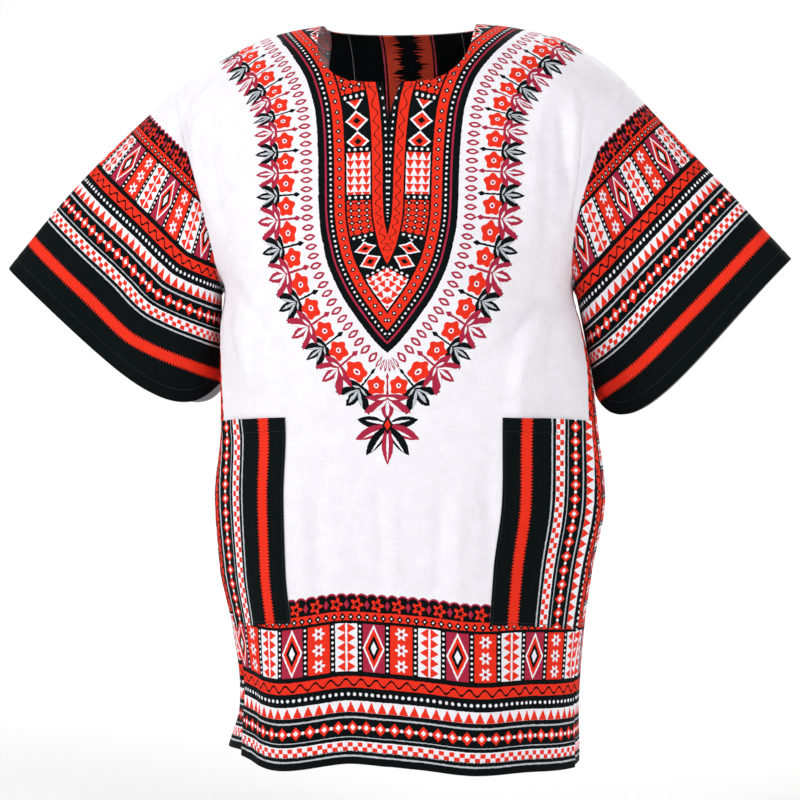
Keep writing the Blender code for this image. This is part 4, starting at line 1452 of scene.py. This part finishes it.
# Stage: a pale seamless floor that curves up into a wall all round, large soft lights, and the camera at
# the photograph's angle.
def turned(profile, count):
    """A surface turned from a profile of (radius, height) points, as (point, turn) grid."""
    angle = np.linspace(0, 2 * np.pi, count, endpoint=False)
    radius, height = profile[:, 0, None], profile[:, 1, None]
    return np.stack([radius * np.cos(angle), radius * np.sin(angle), height + 0 * angle], axis=-1)


FLOOR_HEIGHT, FLOOR_RADIUS, WALL_BEND, WALL_TOP = -0.83, 6.0, 3.0, 7.0
FLOOR_SIDES = 96
bend = np.linspace(0, np.pi / 2, 24)
radius = FLOOR_RADIUS + WALL_BEND * np.sin(bend)
height = FLOOR_HEIGHT + WALL_BEND - WALL_BEND * np.cos(bend)
profile = np.concatenate(
    [
        [[0.001, FLOOR_HEIGHT], [FLOOR_RADIUS / 2, FLOOR_HEIGHT]],
        np.stack([radius, height], axis=-1),
        [[FLOOR_RADIUS + WALL_BEND, WALL_TOP]],
    ]
)
ground = turned(profile, FLOOR_SIDES)
ring = np.arange(ground[..., 0].size).reshape(ground.shape[:2])
ring = np.concatenate([ring, ring[:, :1]], axis=1)
mesh = bpy.data.meshes.new("studio_floor")
mesh.from_pydata(ground.reshape(-1, 3), [], cell_corners(ring).reshape(-1, 4))
mesh.shade_smooth()
floor = bpy.data.objects.new("studio_floor", mesh)
bpy.context.scene.collection.objects.link(floor)
paper = bpy.data.materials.new("matt_paper")
paper.use_nodes = True
shader = paper.node_tree.nodes["Principled BSDF"]
shader.inputs["Base Color"].default_value = linear("#E4E4E4")
shader.inputs["Roughness"].default_value = 0.95
mesh.materials.append(paper)

world = bpy.data.worlds.new("studio")
world.use_nodes = True
world.node_tree.nodes["Background"].inputs["Color"].default_value = (1, 1, 1, 1)
world.node_tree.nodes["Background"].inputs["Strength"].default_value = 0.24
bpy.context.scene.world = world

Lamp = namedtuple("Lamp", "name place aim size power")
TARGET = np.array([-0.001, 0.0, -0.374])
LAMPS = (
    Lamp("key", (-3.5, -2.2, 1.7), TARGET, 0.9, 102),
    Lamp("fill", (3.0, -4.2, 1.3), TARGET, 2.0, 108),
    Lamp("rear", (1.6, 3.0, 2.0), TARGET, 1.8, 18),
    Lamp("backdrop", (0.0, 4.0, 4.5), (0.0, 5.5, -0.8), 4.0, 370),
)
for lamp in LAMPS:
    light = bpy.data.lights.new(lamp.name, "AREA")
    light.size = lamp.size
    light.energy = lamp.power
    made = bpy.data.objects.new(lamp.name, light)
    made.location = lamp.place
    toward = Vector(lamp.aim) - made.location
    made.rotation_euler = toward.to_track_quat("-Z", "Y").to_euler()
    bpy.context.scene.collection.objects.link(made)

CAMERA_DISTANCE = 3.0
CAMERA_TURN = np.radians(6)
lens = bpy.data.cameras.new("camera")
lens.lens = 135.0
camera = bpy.data.objects.new("camera", lens)
camera.location = TARGET + CAMERA_DISTANCE * np.array([np.sin(CAMERA_TURN), -np.cos(CAMERA_TURN), 0])
camera.rotation_euler = (np.pi / 2, 0, CAMERA_TURN)
bpy.context.scene.collection.objects.link(camera)
bpy.context.scene.camera = camera
bpy.context.scene.view_settings.view_transform = "Standard"
